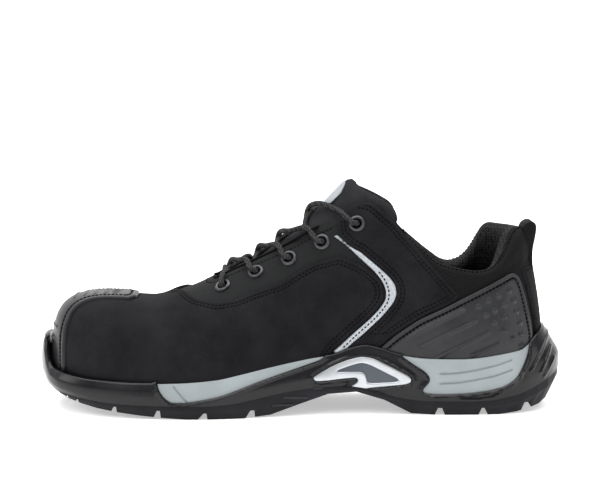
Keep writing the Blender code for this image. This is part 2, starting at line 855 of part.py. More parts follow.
def sole_side(name, inset=0.0, rim=RIM_LINE, lift=CLEAR, rise=0.0):
    """The sole above its parting line, up to the rim."""
    rings = []
    for up, all_round, toe, heel in SIDE_PROFILE:
        rings.append(
            sole_ring(
                lambda share, up=up: (PARTING_LINE(share) + lift) * (1 - up)
                + (rim(share) + rise) * up,
                all_round + inset,
                toe,
                heel,
            )
        )
    return ladder(name, rings)


def make_outsole():
    rings = []
    for up, all_round, toe, heel in OUTSOLE_SIDE:
        rings.append(
            sole_ring(
                lambda share, up=up: BOTTOM_LINE(share) * (1 - up) + PARTING_LINE(share) * up,
                all_round,
                toe,
                heel,
            )
        )
    outsole = ladder("outsole", rings)
    for front, crown, back, top in NOTCHES:
        lean = (crown - front) * NOTCH_LEAN
        notch = ((front, -0.1), (crown, top), (back - lean, top), (back, -0.1))
        combine(outsole, prism("notch", side_outline(notch, RIM_HEIGHT), -WIDE, WIDE))
    return tidy(outsole)


def make_midsole():
    def floor(share):
        return max(BED_LINE(share) - CLEAR, PARTING_LINE(share) + LEAST_FOAM)

    inset = FRAME_WALL + CORE_GAP
    core = ladder(
        "midsole",
        [
            sole_ring(
                lambda share: PARTING_LINE(share) + CORE_GAP,
                inset + CORE_LEAN[0],
                CORE_TOE[0],
                CORE_HEEL[0],
            ),
            sole_ring(floor, inset + CORE_LEAN[1], CORE_TOE[1], CORE_HEEL[1]),
        ],
    )
    last = last_form("last_cut", CLEAR, CLEAR)
    for window in (FRONT_WINDOW, REAR_WINDOW):
        for side in (-1, 1):
            pad = sole_side("pad", PAD_STEP)
            outline = shrunk(side_outline(window, RIM_HEIGHT), CLEAR)
            low, high = (-WIDE, -PAD_INNER) if side < 0 else (PAD_INNER, WIDE)
            combine(pad, prism("pad_cut", outline, low, high), "INTERSECT")
            combine(core, pad, "UNION")
    combine(core, last)
    return tidy(core)


def make_sole_frame():
    frame = sole_side("sole_frame")
    for window in (REAR_WINDOW, FRONT_WINDOW, INSERT_OUTLINE):
        outline = side_outline(window, RIM_HEIGHT)
        for low, high in ((-WIDE, -WINDOW_REACH), (WINDOW_REACH, WIDE)):
            combine(frame, prism("window", outline, low, high))
    core = ladder(
        "core_cut",
        [
            sole_ring(
                lambda share: PARTING_LINE(share) - 2 * MM,
                FRAME_WALL + CORE_LEAN[0],
                CORE_TOE[0],
                SPACE_HEEL[0],
            ),
            sole_ring(
                lambda share: BED_LINE(share) + 1 * MM,
                FRAME_WALL + CORE_LEAN[1],
                CORE_TOE[1],
                SPACE_HEEL[1],
            ),
        ],
    )
    combine(frame, core)
    combine(frame, last_form("last_cut", CLEAR, CLEAR))
    gap = last_form("gap", TOE_GUARD_THICKNESS + CLEAR + RECESS_BEHIND_BUMPER, CLEAR)
    low, high = BUMPER_FLOOR, 2 * RIM_HEIGHT
    front, back = -LENGTH, -LENGTH / 2 + BUMPER_REACH
    box = [(front, low), (back, low), (back, high), (front, high)]
    combine(gap, prism("gap_box", box, -WIDE, WIDE), "INTERSECT")
    combine(frame, gap)
    return tidy(frame)


def make_inserts():
    for side, word in ((-1, "outer"), (1, "inner")):
        low, high = side_span(side)
        for name, outline, hole, raised in (
            ("arch_insert_", INSERT_OUTLINE, PANEL_OUTLINE, INSERT_RAISE),
            ("arch_panel_", PANEL_OUTLINE, None, INSERT_RAISE * 0.25),
        ):
            plate = sole_side(name + word, -raised)
            core = sole_side("plate_core", PLATE_THICKNESS, rise=PLATE_OVERRUN, lift=-PLATE_OVERRUN)
            combine(plate, core)
            edge = shrunk(side_outline(outline, RIM_HEIGHT), CLEAR)
            combine(plate, prism("edge", edge, low, high), "INTERSECT")
            if hole:
                combine(plate, prism("hole", side_outline(hole, RIM_HEIGHT), -WIDE, WIDE))
            tidy(plate)


def make_insole():
    insole = ladder(
        "insole",
        [
            sole_ring(BED_LINE, 1 * MM),
            sole_ring(lambda share: BED_LINE(share) + INSOLE_THICKNESS, 1 * MM),
        ],
    )
    combine(insole, last_form("last_cut", -UPPER_WALL - CLEAR, 3 * MM), "INTERSECT")
    return tidy(insole)


def collar_columns():
    """Shares and sides round the back, from the outer side's front to the inner side's."""
    front = COLLAR_FRONT
    step = math.pi / 2 / COLLAR_STATIONS
    shares = [front + (1 - front) * math.sin(step * k) for k in range(COLLAR_STATIONS + 1)]
    outer = [(share, -1) for share in shares]
    inner = [(share, 1) for share in reversed(shares[:-1])]
    return outer + inner


def crest_share(x, side):
    """Where in the collar's tables a place along one side of the shoe stands."""
    share = share_of(x)
    come = min(max((share - SKEW_IN[0]) / (SKEW_IN[1] - SKEW_IN[0]), 0.0), 1.0)
    fade = min(max((SKEW_OUT[1] - share) / (SKEW_OUT[1] - SKEW_OUT[0]), 0.0), 1.0)
    skew = -CREST_BACK if side < 0 else CREST_AHEAD
    return share + skew / LENGTH * come * fade


def crest_frame(share, side):
    """The column below the crest as points and outward normals at steps down it."""
    curve = column_points(share, side, FINE_LEVELS)
    start = len(curve) - 1
    while start > 0 and curve[start].z > CREST_LINE(crest_share(curve[start].x, side)):
        start -= 1
    above, below = curve[start + 1], curve[start]
    gap_above = above.z - CREST_LINE(crest_share(above.x, side))
    gap_below = CREST_LINE(crest_share(below.x, side)) - below.z
    t = gap_below / (gap_above + gap_below)
    return below.lerp(above, t), start, curve


def down_column(share, side, depth):
    """The point this far down the column from the crest, and the way down there."""
    crest, start, curve = crest_frame(share, side)
    place = crest
    left = depth
    for point in reversed(curve[: start + 1]):
        span = (point - place).length
        if span >= left and span > 0:
            way = (point - place) / span
            return place + way * left, way
        left -= span
        place = point
    return place, Vector((0, 0, -1))


def outward(share, side, point, way):
    """The outward normal of the last at a point of a column."""
    x, y, _ = point
    head = ridge_point(min(max(x, TOE_FOCUS), HEEL_FOCUS))
    away = Vector((x - head.x, y - head.y, 0.0))
    if abs(head.x - HEEL_FOCUS) > 0.01 * MM:
        ahead = down_column(min(share + 0.01, 1.0), side, 0.0)[0]
        along = (ahead - down_column(share - 0.01, side, 0.0)[0]).normalized()
        normal = along.cross(way) if side < 0 else way.cross(along)
        return normal.normalized() if normal.dot(away) > 0 else -normal.normalized()
    away = away - way * away.dot(way)
    return away.normalized()


def make_collar():
    """A padded roll round the top of the heel, with a lining that goes down inside the wall."""
    bm = bmesh.new()
    rings = []
    for share, side in collar_columns():
        ring = []
        crest, _ = down_column(share, side, 0.0)
        place = crest_share(crest.x, side)
        depth, full, thick = ROLL_DEPTH(place), ROLL_FULLNESS(place), ROLL_THICKNESS(place)
        for down, inward, out in COLLAR_SECTION:
            point, way = down_column(share, side, depth * down)
            normal = outward(share, side, point, way)
            ring.append(point + normal * (out * full - inward * thick))
        inner = UPPER_WALL + LINING_GAP
        for down in (1.70, SEAM_INSIDE):
            point, way = down_column(share, side, depth * down)
            normal = outward(share, side, point, way)
            ring.append(point - normal * inner)
        rings.append([bm.verts.new(point) for point in ring])
    count = len(rings[0])
    for here, there in zip(rings, rings[1:]):
        for k in range(count):
            n = (k + 1) % count
            bm.faces.new((here[k], here[n], there[n], there[k]))
    bm.faces.new(rings[0])
    bm.faces.new(list(reversed(rings[-1])))
    bmesh.ops.triangulate(bm, faces=[face for face in bm.faces if len(face.verts) > 4])
    return new_object("collar", bm)


def mouth(name, table, grow=0.0):
    """What an opening over the instep takes away, from its outline in plan."""
    near = []
    for share, half, *room in table:
        reach = half * BALL_WIDTH + sum(room) * EYELET_ROOM + grow
        near.append((-LENGTH / 2 + share * LENGTH - grow, -reach))
    far = [(x, -y) for x, y in reversed(near)]
    return prism(name, near + far, MOUTH_FLOOR, HIGH, "Z")


def opening(name, side, lower=0.0):
    """What the foot's opening takes away on one side, in side view."""
    outline = side_outline(THROAT_TOP, TONGUE_HEIGHT)
    seam = []
    for share, column_side in collar_columns():
        if column_side == side or share == 1.0:
            crest, _ = down_column(share, side, 0.0)
            depth = ROLL_DEPTH(crest_share(crest.x, column_side))
            point, _ = down_column(share, side, depth)
            seam.append((point.x, point.z - lower))
    seam.sort()
    front = seam[0][0] - CLEAR
    outline = [(x, z) for x, z in outline if x < front]
    outline += [(front, CREST_LINE(crest_share(front, side))), (front, seam[0][1])] + seam[1:]
    outline += [(0.6 * LENGTH, outline[-1][1]), (0.6 * LENGTH, HIGH)]
    outline += [(outline[0][0], HIGH)]
    low, high = (-WIDE, 0.0) if side < 0 else (0.0, WIDE)
    return prism(name, outline, low, high)


def surface_tree(offset=0.0):
    """The last's skin, for finding places on it."""
    form = last_form("probe", offset)
    bm = bmesh.new()
    bm.from_mesh(form.data)
    tree = BVHTree.FromBMesh(bm)
    bm.free()
    bpy.data.objects.remove(form)
    return tree


def on_side(tree, share, height, side):
    """The place on the last at a side-view position, and its outward normal."""
    start = Vector((-LENGTH / 2 + share * LENGTH, side * WIDE, height))
    point, normal, _, _ = tree.ray_cast(start, Vector((0, -side, 0)))
    return point, normal if normal.y * side > 0 else -normal


def cylinder(name, centre, normal, radius, low, high, sides=10):
    bm = bmesh.new()
    turned = normal.to_track_quat("Z", "Y").to_matrix()
    rings = []
    for up in (low, high):
        ring = []
        for k in range(sides):
            angle = 2 * math.pi * k / sides
            ring.append(
                bm.verts.new(
                    centre + turned @ Vector((radius * math.cos(angle), radius * math.sin(angle), up))
                )
            )
        rings.append(ring)
    for k in range(sides):
        n = (k + 1) % sides
        bm.faces.new((rings[0][k], rings[0][n], rings[1][n], rings[1][k]))
    bm.faces.new(rings[0])
    bm.faces.new(list(reversed(rings[1])))
    return new_object(name, bm)


def eyelet_places(tree):
    for number, (share, up) in enumerate(EYELETS, 1):
        for side, word in ((-1, "outer"), (1, "inner")):
            yield number, side, word, *on_side(tree, share, up * TONGUE_HEIGHT, side)


def make_upper(tree):
    """One hollow solid with a real wall, open at the collar, the throat and underneath."""
    upper = last_form("upper", 0.0)
    combine(upper, last_form("upper_core", -UPPER_WALL, UPPER_UNDERCUT))
    for side in (-1, 1):
        combine(upper, opening("opening", side, lower=2 * CLEAR))
    combine(upper, mouth("throat", THROAT_PLAN))
    for _, _, _, point, normal in eyelet_places(tree):
        hole = cylinder("hole", point, normal, EYELET_BARREL + CLEAR, -HOLE_REACH, HOLE_REACH)
        combine(upper, hole)
    return tidy(upper)


def make_tongue():
    """A pad under the laces: the form below the upper's wall, less a smaller copy moved down."""
    under = UPPER_WALL + 3 * CLEAR
    outline = side_outline(TONGUE_SIDE, TONGUE_HEIGHT)
    tongue = prism("tongue", outline, -TONGUE_HALF_WIDTH, TONGUE_HALF_WIDTH)
    combine(tongue, last_form("tongue_top", -under), "INTERSECT")
    inside = last_form("tongue_under", -under)
    for vert in inside.data.vertices:
        vert.co.x += TONGUE_SHIFT
        vert.co.y *= TONGUE_PINCH
        vert.co.z -= TONGUE_THICKNESS
    combine(tongue, inside)
    return tidy(tongue)


def overlay(name, thickness, outline, low, high, trim=True, axis="Y"):
    """A panel on the upper, cut out of the space between two copies of the last."""
    panel = shell(name, CLEAR, CLEAR + thickness)
    combine(panel, prism("outline", outline, low, high, axis), "INTERSECT")
    if trim:
        combine(panel, sole_side("sole_cut", -CLEAR, LOW_RIM_LINE, -2 * MM, CLEAR))
    return panel


def guard_outline(grow=0.0):
    near, far = [], []
    for share, half in GUARD_PLAN:
        mid, reach = middle(share), half * BALL_WIDTH + grow
        x = -LENGTH / 2 + share * LENGTH + grow
        near.append((x, mid - reach))
        far.append((x, mid + reach))
    return near + far[::-1]


def make_toe_guard():
    guard = overlay("toe_guard", TOE_GUARD_THICKNESS, guard_outline(), LOW, HIGH, axis="Z")
    return tidy(guard)


def make_vamp():
    back = side_outline(VAMP_BACK, TONGUE_HEIGHT)
    outline = [(-LENGTH, LOW), (-LENGTH, HIGH), (back[0][0], HIGH)] + back + [(back[-1][0], LOW)]
    vamp = overlay("vamp_panel", PANEL_THICKNESS, outline, -WIDE, WIDE)
    combine(vamp, mouth("vamp_mouth", VAMP_MOUTH))
    combine(vamp, prism("guard_cut", guard_outline(CLEAR), LOW, HIGH, "Z"))
    return tidy(vamp)


def make_side_panels(tree):
    left = side_outline(CRESCENT_LEFT, TONGUE_HEIGHT)
    right = side_outline(CRESCENT_RIGHT, TONGUE_HEIGHT)
    back = side_outline(STRIP_BACK, TONGUE_HEIGHT) + side_outline(STRIP_HEEL, BACK_HEIGHT)
    top = [row for row in THROAT_TOP if row[0] < STRIP_BACK[0][0]]
    top = [(x, z - CLEAR) for x, z in side_outline(top, TONGUE_HEIGHT)]
    top = [(right[0][0] + 1.5 * CLEAR, HIGH), (top[0][0], HIGH)] + top
    crescent = left + right[::-1]
    edge = [(x + 1.5 * CLEAR, z + 0.5 * CLEAR) for x, z in right]
    counter_top = side_outline(COUNTER[:7], BACK_HEIGHT)
    strip = edge[::-1] + top + back
    strip += [(x - CLEAR, z + 1.5 * CLEAR) for x, z in reversed(counter_top)]
    for side, word in ((-1, "outer"), (1, "inner")):
        low, high = side_span(side)
        band = overlay("crescent_" + word, PANEL_THICKNESS, shrunk(crescent, CLEAR / 2), low, high)
        tidy(combine(band, mouth("throat", THROAT_PLAN, CLEAR)))
        panel = overlay("quarter_strip_" + word, PANEL_THICKNESS, strip, low, high)
        combine(panel, mouth("throat", THROAT_PLAN, CLEAR))
        for number, hole_side, _, point, normal in eyelet_places(tree):
            if number == len(EYELETS) and hole_side == side:
                reach = HOLE_REACH
                hole = cylinder("hole", point, normal, EYELET_BARREL + CLEAR, -reach / 2, reach)
                combine(panel, hole)
        tidy(panel)
        counter = side_outline(COUNTER, BACK_HEIGHT)
        tidy(overlay("counter_" + word, COUNTER_THICKNESS, counter, low, high))
    outline = side_outline(BACK_STRIP, BACK_HEIGHT)
    tidy(overlay("back_strip", PANEL_THICKNESS, outline, -WIDE, WIDE))


def make_pull_tab():
    outline = side_outline(PULL_TAB, BACK_HEIGHT)
    return tidy(prism("pull_tab", outline, -PULL_TAB_WIDTH / 2, PULL_TAB_WIDTH / 2))


def make_eyelets(tree):
    """Rolled rings with a barrel through the wall of the upper."""
    for number, _, word, point, normal in eyelet_places(tree):
        seat = EYELET_SEAT + (PANEL_THICKNESS + CLEAR if number == len(EYELETS) else 0.0)
        profile = (
            (EYELET_HOLE, -BARREL_REACH),
            (EYELET_HOLE, seat + EYELET_RISE),
            (EYELET_RADIUS - EYELET_ROLL, seat + EYELET_RISE),
            (EYELET_RADIUS, seat),
            (EYELET_BARREL, seat),
            (EYELET_BARREL, -BARREL_REACH),
        )
        turned = normal.to_track_quat("Z", "Y").to_matrix()
        bm = bmesh.new()
        rings = []
        for k in range(EYELET_SIDES):
            angle = 2 * math.pi * k / EYELET_SIDES
            rings.append(
                [
                    bm.verts.new(point + turned @ Vector((r * math.cos(angle), r * math.sin(angle), up)))
                    for r, up in profile
                ]
            )
        for k in range(EYELET_SIDES):
            here, there = rings[k], rings[(k + 1) % EYELET_SIDES]
            for j in range(len(profile)):
                n = (j + 1) % len(profile)
                bm.faces.new((here[j], here[n], there[n], there[j]))
        new_object(f"eyelet_{word}_{number}", bm)


def tube(name, points, radius, sides=6, steps=2):
    """A round cord through points, rounded between them."""
    path = []
    for i in range(len(points) - 1):
        p0 = points[max(i - 1, 0)]
        p1, p2 = points[i], points[i + 1]
        p3 = points[min(i + 2, len(points) - 1)]
        for k in range(steps):
            t = k / steps
            path.append(
                0.5
                * (
                    2 * p1
                    + (p2 - p0) * t
                    + (2 * p0 - 5 * p1 + 4 * p2 - p3) * t * t
                    + (3 * p1 - p0 - 3 * p2 + p3) * t * t * t
                )
            )
    path.append(points[-1])
    bm = bmesh.new()
    rings = []
    for i, place in enumerate(path):
        way = (path[min(i + 1, len(path) - 1)] - path[max(i - 1, 0)]).normalized()
        across = way.cross(Vector((0, 0, 1)))
        across = across.normalized() if across.length > 0.01 else Vector((1, 0, 0))
        over = across.cross(way).normalized()
        rings.append(
            [
                bm.verts.new(
                    place
                    + across * (radius * math.cos(2 * math.pi * k / sides))
                    + over * (radius * math.sin(2 * math.pi * k / sides))
                )
                for k in range(sides)
            ]
        )
    for here, there in zip(rings, rings[1:]):
        for k in range(sides):
            n = (k + 1) % sides
            bm.faces.new((here[k], here[n], there[n], there[k]))
    bm.faces.new(rings[0])
    bm.faces.new(list(reversed(rings[-1])))
    return new_object(name, bm)


def above(tree, x, y, lift):
    """The point this far above the last's skin, straight over a place in plan."""
    point, normal, _, _ = tree.ray_cast(Vector((x, y, HIGH)), Vector((0, 0, -1)))
    if normal.z < 0:
        normal = -normal
    return point + normal * lift


def make_laces(tree):
    """A bar at the front, and a crossing behind each pair of eyelets."""
    spots = {}
    for number, side, _, point, normal in eyelet_places(tree):
        extra = PANEL_THICKNESS if number == len(EYELETS) else 0.0
        rise = EYELET_RISE + EYELET_SEAT + extra + LACE_RADIUS + LACE_GAP
        spots[number, side] = point + normal * rise
    near, far = [spots[1, side] + Vector((0, 0, 2 * CLEAR)) for side in (-1, 1)]
    over = [above(tree, near.x, near.y * share, LACE_LIFT) for share in BAR_SHARES]
    tube("lace_bar", [near] + over + [far], LACE_RADIUS)
    for number in range(1, len(EYELETS)):
        x_low = spots[number, -1].x
        span = spots[number + 1, -1].x - x_low
        end_x = x_low + (LACE_END if number == 1 else -LACE_END)
        lift = LACE_LIFT + (PANEL_THICKNESS if number + 1 == len(EYELETS) else 0.0)
        strands = []
        for side in (-1, 1):
            start = spots[number + 1, side]
            step = side * LACE_STEP
            points = [
                start,
                above(tree, x_low + STRAND_RISE[0] * span, start.y * STRAND_RISE[1], lift),
                above(tree, x_low + STRAND_CROSSING * span + step, step, LACE_LIFT + step),
                above(tree, end_x + LACE_TURN, -side * LACE_DIVE * 0.5, LACE_LIFT * 0.55),
                above(tree, end_x, -side * LACE_DIVE * 0.85, 0.1 * MM),
            ]
            strands.append(tube(f"lace_cross_{number}", points, LACE_RADIUS))
        tidy(combine(strands[0], strands[1], "UNION"))


# Each material: colour, roughness, metallic
FINISHES = {
    "nubuck": ((0.020, 0.021, 0.023), 0.82, 0.0),
    "textile": ((0.024, 0.025, 0.027), 0.92, 0.0),
    "lining": ((0.016, 0.016, 0.018), 0.95, 0.0),
    "moulded_rubber": ((0.026, 0.027, 0.029), 0.55, 0.0),
    "sole_black": ((0.018, 0.018, 0.020), 0.35, 0.0),
    "outsole_rubber": ((0.022, 0.022, 0.023), 0.65, 0.0),
    "midsole_grey": ((0.42, 0.47, 0.47), 0.60, 0.0),
    "silver_trim": ((0.72, 0.75, 0.76), 0.30, 0.35),
    "panel_grey": ((0.30, 0.36, 0.40), 0.50, 0.0),
    "reflective": ((0.62, 0.65, 0.67), 0.45, 0.1),
    "gunmetal": ((0.16, 0.16, 0.17), 0.32, 0.9),
    "lace_black": ((0.018, 0.018, 0.019), 0.85, 0.0),
    "insole_foam": ((0.05, 0.05, 0.055), 0.95, 0.0),
}
# The start of each node's name, and its material
WORN_BY = (
    ("outsole", "outsole_rubber"),
    ("midsole", "midsole_grey"),
    ("sole_frame", "sole_black"),
    ("arch_insert", "silver_trim"),
    ("arch_panel", "panel_grey"),
    ("insole", "insole_foam"),
    ("upper", "textile"),
    ("collar", "lining"),
    ("tongue", "textile"),
    ("toe_guard", "moulded_rubber"),
    ("vamp_panel", "nubuck"),
    ("quarter_strip", "nubuck"),
    ("crescent", "reflective"),
    ("counter", "moulded_rubber"),
    ("back_strip", "nubuck"),
    ("pull_tab", "textile"),
    ("eyelet", "gunmetal"),
    ("lace", "lace_black"),
)


def paint():
    """Gives each node its material and smooth shading with crisp edges."""
    made = {}
    for name, (colour, roughness, metallic) in FINISHES.items():
        material = bpy.data.materials.new(name)
        material.use_nodes = True
        shader = material.node_tree.nodes["Principled BSDF"]
        shader.inputs["Base Color"].default_value = (*colour, 1.0)
        shader.inputs["Roughness"].default_value = roughness
        shader.inputs["Metallic"].default_value = metallic
        made[name] = material
    for obj in bpy.data.objects:
        finish = next(finish for start, finish in WORN_BY if obj.name.startswith(start))
        obj.data.materials.clear()
        obj.data.materials.append(made[finish])
        obj.data.shade_smooth()
        obj.data.set_sharp_from_angle(angle=math.radians(35))


def main():
    clear_scene()
    tree = surface_tree()
    make_outsole()
    make_midsole()
    make_sole_frame()
    make_inserts()
    make_insole()
    make_upper(tree)
    make_collar()
    make_tongue()
    make_toe_guard()
    make_vamp()
    make_side_panels(tree)
    make_pull_tab()
    make_eyelets(tree)
    make_laces(tree)
    paint()


if __name__ == "__main__":
    main()
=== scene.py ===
"""The looks of the low-cut safety sneaker: its leather, cloth, rubber, seams, laces and the studio round it.

The toe points along -X, the outer side is -Y and Z is up. The upper's panels are cut
from a fine copy of the last, and the sole's parts from a fine copy of the sole's side.
"""

import functools
import math

import bmesh
import bpy
import numpy as np
from bpy.props import FloatProperty, FloatVectorProperty, IntProperty, PointerProperty
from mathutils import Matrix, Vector
from mathutils.bvhtree import BVHTree


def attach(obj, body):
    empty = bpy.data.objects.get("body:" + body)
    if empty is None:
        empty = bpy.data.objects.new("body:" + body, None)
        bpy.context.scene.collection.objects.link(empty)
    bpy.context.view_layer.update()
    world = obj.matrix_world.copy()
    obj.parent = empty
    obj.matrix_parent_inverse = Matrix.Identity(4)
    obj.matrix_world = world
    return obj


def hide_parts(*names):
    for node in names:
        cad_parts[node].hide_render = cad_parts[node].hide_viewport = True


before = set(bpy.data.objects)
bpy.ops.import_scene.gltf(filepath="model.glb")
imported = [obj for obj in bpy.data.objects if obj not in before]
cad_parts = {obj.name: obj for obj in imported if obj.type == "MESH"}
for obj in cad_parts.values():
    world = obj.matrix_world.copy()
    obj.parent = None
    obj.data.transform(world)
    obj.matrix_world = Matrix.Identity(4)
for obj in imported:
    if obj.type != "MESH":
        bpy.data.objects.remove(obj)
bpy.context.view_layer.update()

bl_info = {
    "name": "Safety sneaker", "version": (1, 0, 0), "blender": (4, 5, 0),
    "location": "3D View > Sidebar > Sneaker",
    "description": "Dresses the solids of a low-cut safety sneaker and sets a plain studio round it",
    "category": "Add Mesh",
}

MM = 0.001
CLEAR = 0.3 * MM
# Sizes of the whole shoe
LENGTH = 300 * MM
BALL_WIDTH = 105 * MM
HEEL_WIDTH = 76 * MM
TOE_SWING = 6 * MM
HEEL_HEIGHT = 26 * MM
BALL_HEIGHT = 13 * MM
TOE_SPRING = 9 * MM
TOE_BOX_HEIGHT = 62 * MM
TONGUE_HEIGHT = 130 * MM
BACK_HEIGHT = 104 * MM

# Sizes of the upper
TOE_OVERHANG = 8.6 * MM
HEEL_OVERHANG = 11 * MM
SOLE_LEDGE = 4.4 * MM
UPPER_WALL = 2.2 * MM


class Line:
    """A rounded line through rows of (place, value), which never overshoots a row."""

    def __init__(self, rows, key=lambda place: place):
        self.key = key
        self.at = [key(place) for place, _ in rows]
        self.values = [value for _, value in rows]
        steps = range(len(rows) - 1)
        rise = [
            (self.values[i + 1] - self.values[i]) / (self.at[i + 1] - self.at[i])
            for i in steps
        ]
        self.slopes = [rise[0]]
        for before, after in zip(rise, rise[1:]):
            product = before * after
            self.slopes.append(2 * product / (before + after) if product > 0 else 0.0)
        self.slopes.append(rise[-1])

    def __call__(self, place):
        x = min(max(self.key(place), self.at[0]), self.at[-1])
        i = max(j for j in range(len(self.at) - 1) if self.at[j] <= x)
        width = self.at[i + 1] - self.at[i]
        t = (x - self.at[i]) / width
        low, high = self.values[i], self.values[i + 1]
        a, b = self.slopes[i] * width, self.slopes[i + 1] * width
        return (
            low * (1 + 2 * t) * (1 - t) ** 2
            + a * t * (1 - t) ** 2
            + high * t * t * (3 - 2 * t)
            + b * t * t * (t - 1)
        )


def turn(share):
    """Turns a share of a length into an angle, so that a width can close round its ends."""
    return math.acos(1 - 2 * min(max(share, 0.0), 1.0))


def column(table, index, key=lambda place: place):
    """One column of a table, as a line over its first column."""
    return Line([(row[0], row[index]) for row in table], key)


# Plan outlines: share of the length from the toe, and the outer and inner side of the
# shoe as shares of the named width there, measured from the middle line of the foot
SOLE_PLAN = (
    # share, outer, inner
    (0.0, 0.0, 0.0), (0.0167, 0.210, 0.225), (0.05, 0.338, 0.358), (0.12, 0.442, 0.455),
    (0.20, 0.490, 0.497), (0.30, 0.500, 0.482), (0.40, 0.475, 0.424), (0.50, 0.459, 0.381),
    (0.60, 0.472, 0.400), (0.70, 0.500, 0.447), (0.80, 0.513, 0.487), (0.90, 0.480, 0.467),
    (0.96, 0.362, 0.362), (0.988, 0.211, 0.211), (1.0, 0.0, 0.0),
)
SOLE_OUTER = column(SOLE_PLAN, 1, turn)
SOLE_INNER = column(SOLE_PLAN, 2, turn)


def named_width(share):
    """The ball's width over the forefoot and the heel's over the rear, eased across the waist."""
    t = min(max((share - 0.35) / 0.30, 0.0), 1.0)
    ease = t * t * (3 - 2 * t)
    return BALL_WIDTH * (1 - ease) + HEEL_WIDTH * ease


def middle(share):
    """The foot's middle line, which swings towards the big toe over the last quarter."""
    t = min(max(1 - share / 0.28, 0.0), 1.0)
    return TOE_SWING * t * t


def plan_point(share, side, inset=0.0, toe_inset=0.0, heel_inset=0.0):
    """A point of the plan outline. side is -1 for the outer side and 1 for the inner side."""
    front = -LENGTH / 2 + toe_inset
    back = LENGTH / 2 - heel_inset
    width = (SOLE_OUTER if side < 0 else SOLE_INNER)(share) * named_width(share)
    fullness = math.sin(turn(share)) ** 0.6
    return (front + (back - front) * share, middle(share) + side * max(width - inset * fullness, 0.0))


def share_of(x):
    """The share of the length at a place along the shoe."""
    return (x + LENGTH / 2) / LENGTH


# The last's ridge: place along the shoe, and height over the floor as shares of the toe
# box's height in front, of the tongue's height over the instep and of the back's behind
RIDGE = (
    # share of length, share of toe box height, share of tongue height, share of back height
    (0.05, 0.990, 0.0, 0.0), (0.133, 1.005, 0.0, 0.0), (0.190, 0.988, 0.0, 0.0), (0.215, 0.985, 0.0, 0.0),
    (0.235, 1.000, 0.0, 0.0), (0.265, 1.055, 0.0, 0.0), (0.290, 0.0, 0.523, 0.0),
    (0.330, 0.0, 0.566, 0.0), (0.365, 0.0, 0.618, 0.0), (0.415, 0.0, 0.678, 0.0),
    (0.455, 0.0, 0.735, 0.0), (0.495, 0.0, 0.810, 0.0), (0.545, 0.0, 0.922, 0.0),
    (0.590, 0.0, 1.020, 0.0), (0.70, 0.0, 0.560, 0.700), (0.84, 0.0, 0.0, 1.4425),
)
RIDGE_LINE = Line(
    [
        (row[0], row[1] * TOE_BOX_HEIGHT + row[2] * TONGUE_HEIGHT + row[3] * BACK_HEIGHT)
        for row in RIDGE
    ]
)

# The bed that the foot stands on: place along the shoe, and height as shares of the
# heel's height, the ball's height and the toe spring
BED = (
    # share of length, share of heel height, share of ball height, share of toe spring
    (0.0, 0.0, 1.0, 0.80), (0.10, 0.0, 1.0, 0.42), (0.22, 0.0, 1.0, 0.06), (0.32, 0.0, 1.0, 0.0),
    (0.45, 0.25, 0.75, 0.0), (0.60, 0.80, 0.15, 0.0), (0.72, 1.0, 0.0, 0.0), (1.0, 1.0, 0.0, 0.0),
)
BED_LINE = Line(
    [(row[0], row[1] * HEEL_HEIGHT + row[2] * BALL_HEIGHT + row[3] * TOE_SPRING) for row in BED]
)

# How full the sections of the last are: powers of the rounded section, sideways and up
FULLNESS = (
    # share of length, sideways, up
    (0.0, 6.0, 3.6), (0.08, 4.0, 3.1), (0.16, 2.9, 2.6), (0.30, 2.3, 2.2), (0.42, 2.0, 2.0),
    (0.58, 2.0, 1.8), (0.72, 2.0, 1.7), (0.88, 1.8, 1.65), (1.0, 1.5, 1.6),
)
SIDEWAYS_POWER = column(FULLNESS, 1)
UPWARD_POWER = column(FULLNESS, 2)

TOE_FOCUS = -LENGTH * 0.335
HEEL_FOCUS = LENGTH * 0.335
TUCK = 0.07
TUCK_HEIGHT = 0.2


def ridge_point(x):
    """The last's highest point at a place along the shoe."""
    share = share_of(x)
    return Vector((x, middle(share), RIDGE_LINE(share)))


@functools.lru_cache(maxsize=None)
def column_points(share, side, levels):
    """The points of one column of the last, from the feather edge up to the ridge."""
    x, y = plan_point(share, side, SOLE_LEDGE, TOE_OVERHANG, HEEL_OVERHANG)
    place = share_of(x)
    head = ridge_point(min(max(x, TOE_FOCUS), HEEL_FOCUS))
    foot = Vector((x, y, BED_LINE(place)))
    sideways, upward = SIDEWAYS_POWER(place), UPWARD_POWER(place)
    points = []
    for level in range(levels + 1):
        lift = math.pi / 2 * level / levels
        rise = math.sin(lift) ** (2 / upward)
        lean = 1 - math.cos(lift) ** (2 / sideways) if level < levels else 1.0
        tuck = TUCK * max(1 - rise / TUCK_HEIGHT, 0.0) ** 2
        inward = lean + (1 - lean) * tuck
        x, y = foot.x + (head.x - foot.x) * inward, foot.y + (head.y - foot.y) * inward
        points.append(Vector((x, y, foot.z + (head.z - foot.z) * rise)))
    return points


